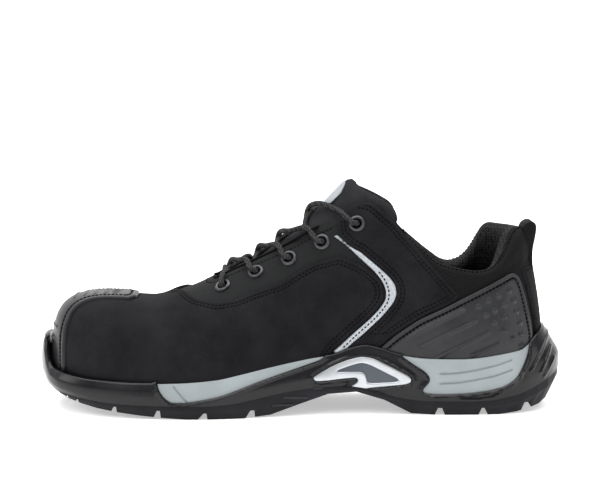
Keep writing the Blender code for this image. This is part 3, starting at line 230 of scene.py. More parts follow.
# Heights of the sole's lines as shares of the heel's rim, along the shoe
RIM_HEIGHT = 46.5 * MM
RIM = (
    # share of length, share of rim height
    (0.0, 0.860), (0.012, 0.850), (0.018, 0.690), (0.024, 0.560), (0.032, 0.490), (0.058, 0.460),
    (0.110, 0.430), (0.200, 0.420), (0.270, 0.430), (0.344, 0.465), (0.390, 0.523), (0.445, 0.598),
    (0.534, 0.697), (0.560, 0.715), (0.594, 0.791), (0.622, 0.828), (0.650, 0.791), (0.687, 0.720),
    (0.743, 0.680), (0.800, 0.675), (0.893, 0.740), (0.915, 0.765), (0.932, 0.830), (0.950, 0.925),
    (0.970, 0.985), (1.0, 1.0),
)
PARTING = (
    # share of length, share of rim height: the line between the outsole and the frame
    (0.0, 0.355), (0.022, 0.300), (0.046, 0.265), (0.089, 0.222), (0.168, 0.180), (0.317, 0.165),
    (0.372, 0.185), (0.408, 0.225), (0.470, 0.300), (0.523, 0.340), (0.585, 0.355), (0.641, 0.300),
    (0.688, 0.210), (0.744, 0.172), (0.837, 0.172), (0.904, 0.240), (0.964, 0.395), (1.0, 0.520),
)
RIM_LINE = Line([(share, height * RIM_HEIGHT) for share, height in RIM])
PARTING_LINE = Line([(share, height * RIM_HEIGHT) for share, height in PARTING])

# How far the sole's side stands in from its plan outline, up its side
SIDE_PROFILE = (
    # share of the side's height, inset all round, further inset at the toe and at the heel
    (0.0, 0.6 * MM, 1.6 * MM, 0.0), (0.30, 0.0, 0.2 * MM, 0.8 * MM), (0.65, 0.4 * MM, 0.0, 4.2 * MM),
    (1.0, 1.5 * MM, 0.6 * MM, 8.0 * MM),
)
INSERT_RAISE = 0.8 * MM

# Side-view outlines of the sole's windows, as shares of the length and of the rim's height
FRONT_WINDOW = (
    (0.236, 0.460), (0.236, 0.800), (0.545, 0.800), (0.545, 0.690), (0.501, 0.600),
    (0.464, 0.527), (0.427, 0.452), (0.390, 0.366), (0.353, 0.282), (0.317, 0.240),
    (0.289, 0.210), (0.263, 0.207), (0.250, 0.270), (0.241, 0.350),
)
REAR_WINDOW = (
    (0.690, 0.715), (0.680, 0.900), (0.934, 0.900), (0.929, 0.755), (0.922, 0.634),
    (0.914, 0.540), (0.905, 0.445), (0.884, 0.350), (0.856, 0.305), (0.818, 0.273),
    (0.781, 0.258), (0.744, 0.260), (0.729, 0.282), (0.731, 0.330), (0.742, 0.406),
    (0.742, 0.467), (0.732, 0.540), (0.712, 0.620),
)

# The collar: the height of its crest along the shoe, and the depth and fullness of its roll
CREST = (
    # share of length, share of back height
    (0.590, 1.130), (0.636, 1.120), (0.650, 1.093), (0.678, 1.030), (0.700, 0.962), (0.724, 0.900),
    (0.745, 0.850), (0.761, 0.818), (0.780, 0.795), (0.800, 0.782), (0.820, 0.777), (0.838, 0.785),
    (0.856, 0.820), (0.868, 0.870), (0.880, 0.935), (0.892, 0.985), (0.906, 1.004), (0.925, 1.000),
    (0.960, 0.990),
)
ROLL = (
    # share of length, depth, fullness outward, thickness
    (0.650, 7.0 * MM, 0.0, 7.0 * MM), (0.700, 8.0 * MM, 0.0, 8.0 * MM), (0.750, 12.0 * MM, 0.0, 9.0 * MM),
    (0.800, 12.0 * MM, 0.0, 10.0 * MM), (0.830, 9.2 * MM, 0.6 * MM, 10.5 * MM),
    (0.850, 8.2 * MM, 1.0 * MM, 11.0 * MM), (0.864, 9.6 * MM, 1.1 * MM, 11.4 * MM),
    (0.875, 12.5 * MM, 1.3 * MM, 12.0 * MM), (0.900, 20.0 * MM, 1.6 * MM, 12.0 * MM),
    (1.0, 20.5 * MM, 1.6 * MM, 12.0 * MM),
)
CREST_LINE = Line([(share, height * BACK_HEIGHT) for share, height in CREST])
# How far the crest's rise lies behind the table on the outer side, and ahead of it on the
# inner side, and the shares of the length between which that comes in and fades out
CREST_BACK = 4 * MM
CREST_AHEAD = 10 * MM
SKEW_IN = (0.76, 0.80)
SKEW_OUT = (0.89, 0.94)
ROLL_DEPTH = column(ROLL, 1)
ROLL_FULLNESS = column(ROLL, 2)
ROLL_THICKNESS = column(ROLL, 3)
COLLAR_FRONT = 0.72
# The roll's section, from its outer edge over the crest and down inside
COLLAR_SECTION = (
    # share of the depth down from the crest, share of the thickness inward,
    # share of the fullness outward
    (1.00, 0.0, 0.15), (0.80, 0.0, 0.70), (0.55, 0.0, 1.0), (0.28, 0.0, 0.80), (0.08, 0.06, 0.0),
    (0.00, 0.22, 0.0), (0.00, 0.48, 0.0), (0.10, 0.78, 0.0), (0.35, 0.98, 0.0), (0.75, 1.0, 0.0),
    (1.20, 0.85, 0.0), (1.70, 0.50, 0.0),
)

# Side-view outlines on the upper, as shares of the length and of the tongue's height
THROAT_TOP = (
    (0.612, 0.909), (0.623, 0.909), (0.636, 0.903), (0.648, 0.880), (0.664, 0.848), (0.678, 0.822),
    (0.691, 0.788),
)
VAMP_BACK = (
    (0.548, 0.692), (0.566, 0.687), (0.585, 0.672), (0.604, 0.656), (0.628, 0.625),
    (0.645, 0.596), (0.654, 0.568), (0.658, 0.530), (0.657, 0.495), (0.646, 0.457),
    (0.630, 0.417), (0.592, 0.340), (0.555, 0.267), (0.545, 0.200),
)
CRESCENT_LEFT = (
    (0.565, 0.765), (0.576, 0.744), (0.594, 0.711), (0.613, 0.669), (0.632, 0.631),
    (0.646, 0.598), (0.656, 0.564), (0.661, 0.530), (0.660, 0.495), (0.649, 0.457),
    (0.633, 0.417), (0.614, 0.378), (0.595, 0.340), (0.577, 0.301), (0.559, 0.267),
)
CRESCENT_RIGHT = (
    (0.568, 0.765), (0.585, 0.736), (0.598, 0.713), (0.613, 0.698), (0.628, 0.669),
    (0.646, 0.636), (0.665, 0.598), (0.678, 0.560), (0.681, 0.522), (0.676, 0.488),
    (0.665, 0.453), (0.650, 0.414), (0.632, 0.375), (0.613, 0.335), (0.594, 0.300), (0.580, 0.262),
)
STRIP_BACK = (
    (0.648, 0.880), (0.678, 0.822), (0.691, 0.784), (0.715, 0.726), (0.733, 0.675), (0.752, 0.629),
)
# The same edge further back and all that stands round the heel, with the back's height
STRIP_HEEL = ((0.771, 0.721), (0.789, 0.670), (0.800, 0.635))
COUNTER = (
    (0.647, 0.348), (0.656, 0.376), (0.678, 0.431), (0.706, 0.486), (0.724, 0.519),
    (0.762, 0.569), (0.799, 0.623), (0.836, 0.675), (0.874, 0.731), (0.889, 0.755),
    (0.899, 0.757), (0.908, 0.737), (0.914, 0.693), (0.922, 0.609), (0.930, 0.508),
    (0.936, 0.409), (0.934, 0.250), (0.647, 0.250),
)
BACK_STRIP = (
    (0.911, 0.785), (0.918, 0.737), (0.923, 0.693), (0.931, 0.609), (0.939, 0.508),
    (0.945, 0.409), (0.943, 0.250), (1.05, 0.250), (1.05, 0.785),
)
TONGUE_SIDE = (
    (0.270, 0.380), (0.270, 0.800), (0.500, 1.100), (0.592, 1.100), (0.597, 1.003),
    (0.634, 0.957), (0.676, 0.897), (0.684, 0.815), (0.660, 0.680), (0.600, 0.620),
    (0.450, 0.500), (0.350, 0.430),
)
TONGUE_HALF_WIDTH = 26 * MM
TONGUE_THICKNESS = 5.8 * MM

# The toe guard in plan, round the foot's middle line
GUARD_PLAN = (
    # share of length, half width as a share of the ball's width
    (-0.02, 0.5714), (0.052, 0.5714), (0.054, 0.3333), (0.062, 0.2429), (0.075, 0.2000), (0.095, 0.1714),
    (0.125, 0.1524), (0.188, 0.1476),
)

# The throat in plan
THROAT_PLAN = (
    # share of length, half width as a share of the ball's width
    (0.336, 0.0571), (0.338, 0.0905), (0.344, 0.1143), (0.361, 0.1238), (0.425, 0.1238), (0.473, 0.1381),
    (0.533, 0.1571), (0.585, 0.1762), (0.625, 0.1857), (0.660, 0.1905),
)

# The vamp's edge round the throat in plan
VAMP_MOUTH = (
    # share of length, half width as a share of the ball's width, share of the eyelets' room
    (0.262, 0.0000, 0.125), (0.270, 0.0000, 0.500), (0.282, 0.0000, 0.917), (0.293, 0.0762, 1.000),
    (0.308, 0.1333, 1.000), (0.333, 0.1714, 1.000), (0.352, 0.1905, 1.000), (0.380, 0.1905, 1.000),
    (0.408, 0.1714, 1.000), (0.436, 0.1619, 1.000), (0.464, 0.1524, 1.000), (0.492, 0.1333, 1.000),
    (0.523, 0.1238, 1.000), (0.560, 0.1238, 1.000),
)

# Eyelets: places on the side of the upper, as shares of the length and the tongue's height
EYELETS = ((0.355, 0.548), (0.417, 0.608), (0.479, 0.667), (0.541, 0.738), (0.607, 0.815))
EYELET_RADIUS = 4.5 * MM
EYELET_ROOM = 12 * MM
EYELET_HOLE = 2.5 * MM
EYELET_REACH = 8 * MM
BARREL_REACH = 1.5 * MM

PULL_TAB_WIDTH = 20 * MM

SIDES = ((-1, "outer"), (1, "inner"))
# Places outside the shoe: beside it, under it and over it
WIDE = 90 * MM
LOW = -5 * MM
HIGH = 180 * MM


def collar_columns(stations):
    """Shares and sides round the back, from the outer side's front to the inner side's."""
    front = COLLAR_FRONT
    step = math.pi / 2 / stations
    shares = [front + (1 - front) * math.sin(step * k) for k in range(stations + 1)]
    outer = [(share, -1) for share in shares]
    inner = [(share, 1) for share in reversed(shares[:-1])]
    return outer + inner


FINE_LEVELS = 96


def crest_share(x, side):
    """Where in the collar's tables a place along one side of the shoe stands."""
    share = share_of(x)
    come = min(max((share - SKEW_IN[0]) / (SKEW_IN[1] - SKEW_IN[0]), 0.0), 1.0)
    fade = min(max((SKEW_OUT[1] - share) / (SKEW_OUT[1] - SKEW_OUT[0]), 0.0), 1.0)
    skew = -CREST_BACK if side < 0 else CREST_AHEAD
    return share + skew / LENGTH * come * fade


@functools.lru_cache(maxsize=None)
def crest_frame(share, side):
    """The column below the crest as points and outward normals at steps down it."""
    curve = column_points(share, side, FINE_LEVELS)
    start = len(curve) - 1
    while start > 0 and curve[start].z > CREST_LINE(crest_share(curve[start].x, side)):
        start -= 1
    above, below = curve[start + 1], curve[start]
    gap_above = above.z - CREST_LINE(crest_share(above.x, side))
    gap_below = CREST_LINE(crest_share(below.x, side)) - below.z
    t = gap_below / (gap_above + gap_below)
    return below.lerp(above, t), start, curve


def down_column(share, side, depth):
    """The point this far down the column from the crest, and the way down there."""
    crest, start, curve = crest_frame(share, side)
    place = crest
    left = depth
    for point in reversed(curve[: start + 1]):
        span = (point - place).length
        if span >= left and span > 0:
            way = (point - place) / span
            return place + way * left, way
        left -= span
        place = point
    return place, Vector((0, 0, -1))


def outward(share, side, point, way):
    """The outward normal of the last at a point of a column."""
    x, y, _ = point
    head = ridge_point(min(max(x, TOE_FOCUS), HEEL_FOCUS))
    away = Vector((x - head.x, y - head.y, 0.0))
    if abs(head.x - HEEL_FOCUS) > 0.01 * MM:
        ahead = down_column(min(share + 0.01, 1.0), side, 0.0)[0]
        along = (ahead - down_column(share - 0.01, side, 0.0)[0]).normalized()
        normal = along.cross(way) if side < 0 else way.cross(along)
        return normal.normalized() if normal.dot(away) > 0 else -normal.normalized()
    away = away - way * away.dot(way)
    return away.normalized()


# How finely the last and the sole's side are drawn here
AROUND = 150
RISE = 54
SOLE_RISE = 20
CREST_FINE = 60

seams = {"leather": [], "rubber": [], "cloth": []}
skins = {}


def settings():
    """The panel's sizes."""
    return bpy.context.scene.sneaker_sizes


def deselect():
    """Clears the selection."""
    bpy.ops.object.select_all(action="DESELECT")


def make_active(obj):
    """Selects one object alone and makes it the active one."""
    deselect()
    obj.select_set(True)
    bpy.context.view_layer.objects.active = obj


def apply_modifier(obj, kind, **values):
    """Adds one modifier, sets it and applies it, as by hand."""
    make_active(obj)
    modifier = obj.modifiers.new(kind.title(), kind)
    for key, value in values.items():
        setattr(modifier, key, value)
    bpy.ops.object.modifier_apply(modifier=modifier.name)


def linked(name, data):
    """A new object that stands in the scene."""
    obj = bpy.data.objects.new(name, data)
    bpy.context.scene.collection.objects.link(obj)
    return obj


def mesh_object(name, bm):
    """A new object with the mesh, which is freed."""
    mesh = bpy.data.meshes.new(name)
    bm.to_mesh(mesh)
    bm.free()
    return linked(name, mesh)


def close_faces(merge=0.0):
    """Merges the active mesh's doubles, and turns its faces the same way."""
    bpy.ops.object.mode_set(mode="EDIT")
    bpy.ops.mesh.select_all(action="SELECT")
    if merge:
        bpy.ops.mesh.remove_doubles(threshold=merge)
    bpy.ops.mesh.normals_make_consistent(inside=False)
    bpy.ops.object.mode_set(mode="OBJECT")


def loft(rings):
    """A closed mesh through rings of points, with a flat end at the first and the last."""
    bm = bmesh.new()
    made = [[bm.verts.new(point) for point in ring] for ring in rings]
    count = len(made[0])
    for here, there in zip(made, made[1:]):
        for k in range(count):
            n = (k + 1) % count
            bm.faces.new((here[k], here[n], there[n], there[k]))
    bm.faces.new(made[0])
    bm.faces.new(made[-1][::-1])
    bmesh.ops.recalc_face_normals(bm, faces=bm.faces)
    return bm, made


def finish_piece(obj, material, nodes=(), sharp=40.0):
    """Gives a piece its material and shading, and hides the solids that it stands for."""
    obj.data.materials.clear()
    obj.data.materials.append(material)
    make_active(obj)
    bpy.ops.object.shade_smooth_by_angle(angle=math.radians(sharp))
    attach(obj, "root")
    if nodes:
        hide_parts(*nodes)
    return obj


class Outline:
    """A closed outline in side view or in plan. It says how far inside it a point of a skin lies."""

    def __init__(self, points, axes=(0, 2), soften=2):
        for _ in range(soften):
            softer = []
            for here, there in zip(points, points[1:] + points[:1]):
                softer.append(tuple(0.8 * a + 0.2 * b for a, b in zip(here, there)))
                softer.append(tuple(0.2 * a + 0.8 * b for a, b in zip(here, there)))
            points = softer
        self.start = np.array(points)
        self.span = np.roll(self.start, -1, 0) - self.start
        self.axes = list(axes)

    def depth(self, places, ways):
        """The distance to the outline along the skin, positive inside."""
        flat = places[:, self.axes]
        to_start = flat[:, None, :] - self.start[None]
        along = (to_start * self.span).sum(-1) / (self.span**2).sum(-1)
        off = to_start - np.clip(along, 0, 1)[..., None] * self.span
        squares = (off**2).sum(-1)
        nearest = squares.argmin(1)
        rows = np.arange(len(flat))
        distance = np.sqrt(squares[rows, nearest])
        way = off[rows, nearest] / np.maximum(distance, 1e-9)[:, None]
        slope = np.sqrt(np.maximum(1 - (way * ways[:, self.axes]).sum(1) ** 2, 0.04))
        end = self.start + self.span
        low = self.start[:, 1] > flat[:, 1, None]
        high = end[:, 1] > flat[:, 1, None]
        rise = np.where(np.abs(self.span[:, 1]) < 1e-12, 1e-12, self.span[:, 1])
        cross = self.start[:, 0] + (flat[:, 1, None] - self.start[:, 1]) / rise * self.span[:, 0]
        inside = ((low != high) & (flat[:, 0, None] < cross)).sum(1) % 2 == 1
        return np.where(inside, 1, -1) * distance / slope


def one_side(side):
    """How far a point lies over to one side of the shoe."""
    return lambda places, ways: places[:, 1] * side


def within(*parts):
    """The depth inside all of these."""
    return lambda places, ways: np.minimum.reduce([part(places, ways) for part in parts])


def outside(part):
    """The depth outside a part, from the depth inside it."""
    return lambda places, ways: -part(places, ways)


# A vertex whose value is this near to a cut line's lies on the line
ON_LINE = 1e-6


def cut_along(bm, layer, level):
    """Splits the mesh where the layer's value passes the level, so that an edge line runs there."""
    made = []
    for edge in list(bm.edges):
        a, b = edge.verts
        low, high = a[layer] - level, b[layer] - level
        if low * high < 0 and min(abs(low), abs(high)) > ON_LINE:
            _, vert = bmesh.utils.edge_split(edge, a, low / (low - high))
            vert[layer] = level
            made.append(vert)
    made += [vert for vert in bm.verts if abs(vert[layer] - level) <= ON_LINE]
    for vert in made:
        vert[layer] = level
    bmesh.ops.connect_verts(bm, verts=list(dict.fromkeys(made)))


def line_runs(bm, layer, level):
    """The runs of vertices that lie on a cut line, each in order."""
    on = {vert for vert in bm.verts if abs(vert[layer] - level) < ON_LINE / 10}
    links = {
        vert: [edge.other_vert(vert) for edge in vert.link_edges if edge.other_vert(vert) in on]
        for vert in on
    }
    ends = sorted((vert for vert in on if len(links[vert]) == 1), key=lambda vert: vert.index)
    runs, used = [], set()
    for first in ends + sorted(on, key=lambda vert: vert.index):
        if first in used:
            continue
        run, here = [first], first
        used.add(first)
        while True:
            ahead = [vert for vert in links[here] if vert not in used]
            if not ahead:
                break
            here = ahead[0]
            used.add(here)
            run.append(here)
        if len(run) >= SHORTEST_ROW:
            runs.append(run)
    return runs


def bump(distance, width):
    """A smooth rise to 1 at distance 0 that ends at the width."""
    t = np.clip(1 - np.abs(distance) / width, 0, 1)
    return t * t * (3 - 2 * t)


def line_distance(places, a, b, axes=(0, 2)):
    """The distance in side view, or in plan, from a line between two points."""
    flat = places[:, list(axes)]
    a, b = np.array(a), np.array(b)
    along = np.clip(((flat - a) @ (b - a)) / ((b - a) @ (b - a)), 0, 1)
    return np.linalg.norm(flat - a - along[:, None] * (b - a), axis=1)


def path_distance(places, line):
    """The distance in side view from a line of several points."""
    return np.minimum.reduce([line_distance(places, a, b) for a, b in zip(line, line[1:])])


# While a panel is cut: how much skin stays round it, first coarse and then fine, and where its
# rounded edge gets a line, as shares of the edge's width
ROUGH_MARGIN = 4.5 * MM
FINE_MARGIN = 2.5 * MM
EDGE_LINES = (0.3, 1.0)
# Beside a row of stitches: its two further lines, its groove's half width, its least distance
# from the panel's edge, and the fewest places that make a row
SEAM_LINE = 0.55 * MM
GROOVE_WIDTH = 0.56 * MM
SEAM_MARGIN = 1.6 * MM
SHORTEST_ROW = 4


def cut_panel(
    name, skin, depth_at, lift, thickness, edge=1.0 * MM, refine=0, relief=None, stitched=None,
    offsets=(), thread="leather", groove=0.22 * MM, wall=1.1 * MM, keep=lambda co: True,
):
    """Cuts a panel out of a skin and raises it.

    depth_at gives the distance inside the panel. Its edge rounds down over the given
    width. Rows of stitches run at the offsets inside the line that stitched gives.
    """
    bm = bmesh.new()
    bm.from_mesh(skin.data)
    bm.normal_update()
    way = bm.verts.layers.float_vector.new("way")
    depth = bm.verts.layers.float.new("depth")
    row = bm.verts.layers.float.new("row")
    for vert in bm.verts:
        vert[way] = vert.normal

    def measured(function):
        places = np.array([vert.co[:] for vert in bm.verts])
        ways = np.array([vert[way][:] for vert in bm.verts])
        return zip(list(bm.verts), function(places, ways))

    def trim(margin):
        far = [vert for vert, d in measured(depth_at) if d < -margin]
        bmesh.ops.delete(bm, geom=far, context="VERTS")

    trim(ROUGH_MARGIN)
    if refine:
        bmesh.ops.subdivide_edges(bm, edges=bm.edges, cuts=refine, use_grid_fill=True)
        trim(FINE_MARGIN)
    for vert, d in measured(depth_at):
        vert[depth] = d
    cut_along(bm, depth, 0.0)
    outer = [face for face in bm.faces if sum(v[depth] for v in face.verts) / len(face.verts) < 0]
    bmesh.ops.delete(bm, geom=outer, context="FACES")
    for share in EDGE_LINES:
        cut_along(bm, depth, edge * share)
    if offsets:
        for vert, d in measured(stitched or depth_at):
            vert[row] = d
        for offset in offsets:
            for shift in (-SEAM_LINE, 0.0, SEAM_LINE):
                cut_along(bm, row, offset + shift)
        bm.verts.index_update()
    seam_height = lift + thickness - groove
    for offset in offsets:
        for run in line_runs(bm, row, offset):
            run = [vert for vert in run if vert[depth] > SEAM_MARGIN and keep(vert.co)]
            if len(run) >= SHORTEST_ROW:
                spots = [(vert.co + vert[way] * seam_height, Vector(vert[way])) for vert in run]
                seams[thread].append(spots)
    places = np.array([vert.co[:] for vert in bm.verts])
    depths = np.array([vert[depth] for vert in bm.verts])
    rows = np.array([vert[row] for vert in bm.verts])
    t = np.clip(depths / edge, 0, 1)
    height = lift + thickness * np.sqrt(np.clip(1 - (1 - t) ** 2, 0, 1))
    for offset in offsets:
        height = height - groove * bump(rows - offset, GROOVE_WIDTH) * np.clip(depths / edge - 1, 0, 1)
    if relief:
        height = height + relief(places, depths)
    for vert, h in zip(bm.verts, height):
        vert.co = vert.co + vert[way] * float(h)
    bmesh.ops.dissolve_degenerate(bm, edges=bm.edges, dist=0.01 * MM)
    loose = [vert for vert in bm.verts if not vert.link_faces]
    bmesh.ops.delete(bm, geom=loose, context="VERTS")
    obj = mesh_object(name, bm)
    apply_modifier(obj, "SOLIDIFY", thickness=wall, offset=-1.0, use_even_offset=False)
    return obj


def wrapped_grid(name, columns):
    """A grid primitive wrapped round the shoe, one column of it through each list of points."""
    deselect()
    around, up = len(columns) - 1, len(columns[0]) - 1
    bpy.ops.mesh.primitive_grid_add(x_subdivisions=around, y_subdivisions=up, size=1)
    obj = bpy.context.object
    obj.name = name
    for vert in obj.data.vertices:
        column = columns[round((vert.co.x + 0.5) * around)]
        vert.co = column[round((vert.co.y + 0.5) * up)]
    close_faces(merge=0.02 * MM)
    face_outward(obj)
    return obj


def places_around(count):
    """Shares and sides all the way round, closed at the toe."""
    shares = [(1 - math.cos(math.pi * k / count)) / 2 for k in range(count + 1)]
    return [(share, -1) for share in shares] + [(share, 1) for share in shares[-2::-1]]


# The line inside the shoe that skins face away from: its height, and how short it is
SPINE_HEIGHT = 30 * MM
SPINE_SHARE = 0.6


def face_outward(obj):
    """Turns an open skin so that its faces point away from the shoe's middle."""
    mesh = obj.data
    away = 0.0
    for polygon in mesh.polygons:
        middle_point = Vector((SPINE_SHARE * polygon.center.x, 0.0, SPINE_HEIGHT))
        away += polygon.area * polygon.normal.dot(polygon.center - middle_point)
    if away < 0:
        mesh.flip_normals()


def last_skin():
    """The last's whole surface, from the feather edge up to the ridge."""
    columns = [column_points(share, side, RISE) for share, side in places_around(AROUND)]
    return wrapped_grid("last_skin", columns)


# The rim's inner ledge: share of the ledge's width inward, and drop from the rim
LEDGE = (
    (0.05, -0.35 * MM), (0.16, -0.60 * MM), (0.34, -0.60 * MM), (0.52, -0.30 * MM), (0.70, 0.60 * MM),
    (0.82, 2.2 * MM), (0.90, 5.0 * MM),
)
LEDGE_WIDTH = 5.2 * MM
LEDGE_AT_HEEL = 1.2 * MM
SIDE_INSET = column(SIDE_PROFILE, 1)
TOE_INSET = column(SIDE_PROFILE, 2)
HEEL_INSET = column(SIDE_PROFILE, 3)


def sole_point(share, side, inset, toe, heel, height):
    """A point of the sole's side, at an inset and a height."""
    x, y = plan_point(share, side, inset, inset + toe, inset + heel)
    return Vector((x, y, height(share_of(x))))


def sole_skin():
    """The sole's side from the parting line up, with the ledge that runs in to the upper."""
    rows = []
    for up in (k / SOLE_RISE for k in range(SOLE_RISE + 1)):

        def height(share, up=up):
            return PARTING_LINE(share) * (1 - up) + RIM_LINE(share) * up

        rows.append((SIDE_INSET(up), TOE_INSET(up), HEEL_INSET(up), height))
    for inward, drop in LEDGE:
        inset = SIDE_INSET(1.0) + LEDGE_WIDTH * inward
        heel = HEEL_INSET(1.0) - LEDGE_AT_HEEL * inward
        rows.append((inset, TOE_INSET(1.0), heel, lambda share, drop=drop: RIM_LINE(share) - drop))
    columns = [[sole_point(share, side, *row) for row in rows] for share, side in places_around(AROUND)]
    return wrapped_grid("sole_skin", columns)


COAT_ROUGHNESS = 0.25


class Finish:
    """A Principled material whose pattern reads object coordinates."""

    def __init__(self, name, colour, roughness, specular, metallic=0.0, coat=0.0, turned=(0.0, 0.0, 0.0)):
        self.material = bpy.data.materials.new(name)
        self.material.use_nodes = True
        self.nodes = self.material.node_tree.nodes
        self.shader = self.nodes["Principled BSDF"]
        self.colour = colour
        self.wire(self.shader, {"Base Color": (*colour, 1.0), "Roughness": roughness, "Metallic": metallic})
        self.wire(self.shader, {"Specular IOR Level": specular})
        if coat:
            self.wire(self.shader, {"Coat Weight": coat, "Coat Roughness": COAT_ROUGHNESS})
        self.coordinates = self.nodes.new("ShaderNodeTexCoord").outputs["Object"]
        self.place = self.turned(turned)

    def wire(self, node, inputs):
        """Links each input that is given a socket, and sets the others."""
        for name, value in inputs.items():
            if isinstance(value, bpy.types.NodeSocket):
                self.material.node_tree.links.new(value, node.inputs[name])
            else:
                node.inputs[name].default_value = value

    def node(self, kind, output, inputs, **settings):
        """Adds a node and gives one of its outputs."""
        node = self.nodes.new("ShaderNode" + kind)
        for name, value in settings.items():
            setattr(node, name, value)
        self.wire(node, inputs)
        return node.outputs[output]

    def turned(self, angles):
        return self.node("Mapping", "Vector", {"Vector": self.coordinates, "Rotation": angles})

    def noise(self, scale, detail=3.0, roughness=0.55):
        inputs = {"Vector": self.place, "Scale": scale, "Detail": detail, "Roughness": roughness}
        return self.node("TexNoise", "Fac", inputs)

    def cells(self, scale, randomness=1.0):
        inputs = {"Vector": self.place, "Scale": scale, "Randomness": randomness}
        return self.node("TexVoronoi", "Distance", inputs)

    def wave(self, scale, direction="X", distortion=0.0, place=None):
        inputs = {"Vector": place or self.place, "Scale": scale, "Distortion": distortion, "Detail": 0.0}
        return self.node("TexWave", "Fac", inputs, wave_type="BANDS", bands_direction=direction)

    def sum(self, operation, a, b):
        return self.node("Math", "Value", {0: a, 1: b}, operation=operation)

    def tint(self, factor, dark, light, low, high):
        """Goes from the dark share of the colour to the light one as the factor goes from low to high."""
        ramp = self.nodes.new("ShaderNodeValToRGB")
        for element, at, by in zip(ramp.color_ramp.elements, (low, high), (dark, light)):
            element.position = at
            element.color = (*shade(self.colour, by), 1.0)
        self.wire(ramp, {"Fac": factor})
        self.wire(self.shader, {"Base Color": ramp.outputs["Color"]})

    def rough(self, factor, low, high):
        value = self.node("MapRange", "Result", {"Value": factor, "To Min": low, "To Max": high})
        self.wire(self.shader, {"Roughness": value})

    def bump(self, height, strength, distance):
        inputs = {"Height": height, "Strength": strength, "Distance": distance}
        self.wire(self.shader, {"Normal": self.node("Bump", "Normal", inputs)})


def shade(colour, by):
    """The colour made darker or lighter."""
    return tuple(min(part * by, 1.0) for part in colour)


def leather_material(colour):
    """Brushed leather: soft clouds under a fine nap."""
    finish = Finish("brushed_leather", colour, 0.85, 0.07)
    clouds = finish.noise(55.0, 5.0, 0.6)
    nap = finish.noise(2600.0, 2.0, 0.6)
    mixed = finish.sum("ADD", finish.sum("MULTIPLY", clouds, 0.55), finish.sum("MULTIPLY", nap, 0.45))
    finish.tint(mixed, 0.55, 1.75, 0.36, 0.66)
    finish.rough(clouds, 0.72, 0.92)
    finish.bump(nap, 0.35, 0.0002)
    return finish.material


def woven_material(name, colour, lean, cord, yarn):
    """A ribbed weave: cords that lean by an angle in side view, crossed by finer yarns."""
    finish = Finish(name, colour, 0.8, 0.07, turned=(0.0, math.radians(lean), 0.0))
    ribs = finish.wave(cord, "X", 0.25)
    yarns = finish.sum("MULTIPLY", finish.wave(yarn, "Z"), 0.6)
    height = finish.sum("MULTIPLY", ribs, finish.sum("ADD", yarns, 0.4))
    finish.tint(height, 0.3, 2.4, 0.05, 0.95)
    finish.bump(height, 0.6, 0.0003)
    return finish.material


def mesh_lining_material(colour):
    """A knitted mesh of small holes."""
    finish = Finish("mesh_lining", colour, 0.9, 0.12)
    height = finish.cells(620.0, 0.35)
    finish.tint(height, 0.15, 2.3, 0.2, 0.6)
    finish.bump(finish.sum("SUBTRACT", 1.0, height), 0.6, 0.0006)
    return finish.material


def rubber_material(name, colour, roughness, grain=900.0, coat=0.0, specular=0.13):
    """Moulded rubber with a fine grain and a little dust."""
    finish = Finish(name, colour, roughness, specular, coat=coat)
    dust = finish.noise(70.0, 4.0, 0.6)
    finish.tint(dust, 0.8, 1.35, 0.3, 0.72)
    finish.rough(dust, roughness - 0.07, roughness + 0.1)
    finish.bump(finish.noise(grain, 2.0, 0.5), 0.18, 0.0003)
    return finish.material


def foam_material(colour):
    """Smooth foam."""
    finish = Finish("midsole_foam", colour, 0.55, 0.35)
    finish.tint(finish.noise(40.0, 3.0, 0.5), 0.9, 1.08, 0.3, 0.7)
    finish.bump(finish.noise(1500.0, 2.0, 0.5), 0.12, 0.0002)
    return finish.material


def trim_material(name, colour, roughness, metallic):
    """A satin trim, printed or metallic."""
    finish = Finish(name, colour, roughness, 0.6, metallic)
    clouds = finish.noise(90.0, 3.0, 0.5)
    finish.tint(clouds, 0.9, 1.08, 0.3, 0.7)
    finish.rough(clouds, roughness - 0.05, roughness + 0.1)
    return finish.material


def reflective_material(colour):
    """Reflective tape with its fine cells."""
    finish = Finish("reflective_tape", colour, 0.4, 0.6, 0.15)
    cells = finish.cells(900.0)
    finish.tint(cells, 1.08, 0.78, 0.1, 0.6)
    finish.bump(cells, 0.2, 0.0002)
    return finish.material


def braid_material(colour):
    """The lace's braid: two sets of strands that cross, with painted highlight on their crests."""
    finish = Finish("lace_braid", colour, 0.75, 0.2)
    angles = [math.radians(lean) for lean in (35, -35)]
    strands = [finish.wave(230.0, place=finish.turned((angle, 0.0, angle))) for angle in angles]
    height = finish.sum("MULTIPLY", *strands)
    # Painted highlight: the strands' crests are tinted up to 2.6 times lighter and their hollows darker,
    # partly the braid's own pattern and partly painted sheen.
    finish.tint(height, 0.5, 2.6, 0.1, 0.75)
    finish.bump(height, 0.8, 0.0005)
    return finish.material


def thread_material(colour):
    """Twisted sewing thread."""
    # Painted shade: the thread is near black, darker than the leather, partly its own dark colour and partly
    # the shade of the stitch holes.
    finish = Finish("thread", colour, 0.75, 0.04)
    finish.tint(finish.wave(900.0, "DIAGONAL"), 0.7, 1.4, 0.2, 0.8)
    return finish.material


materials = {}


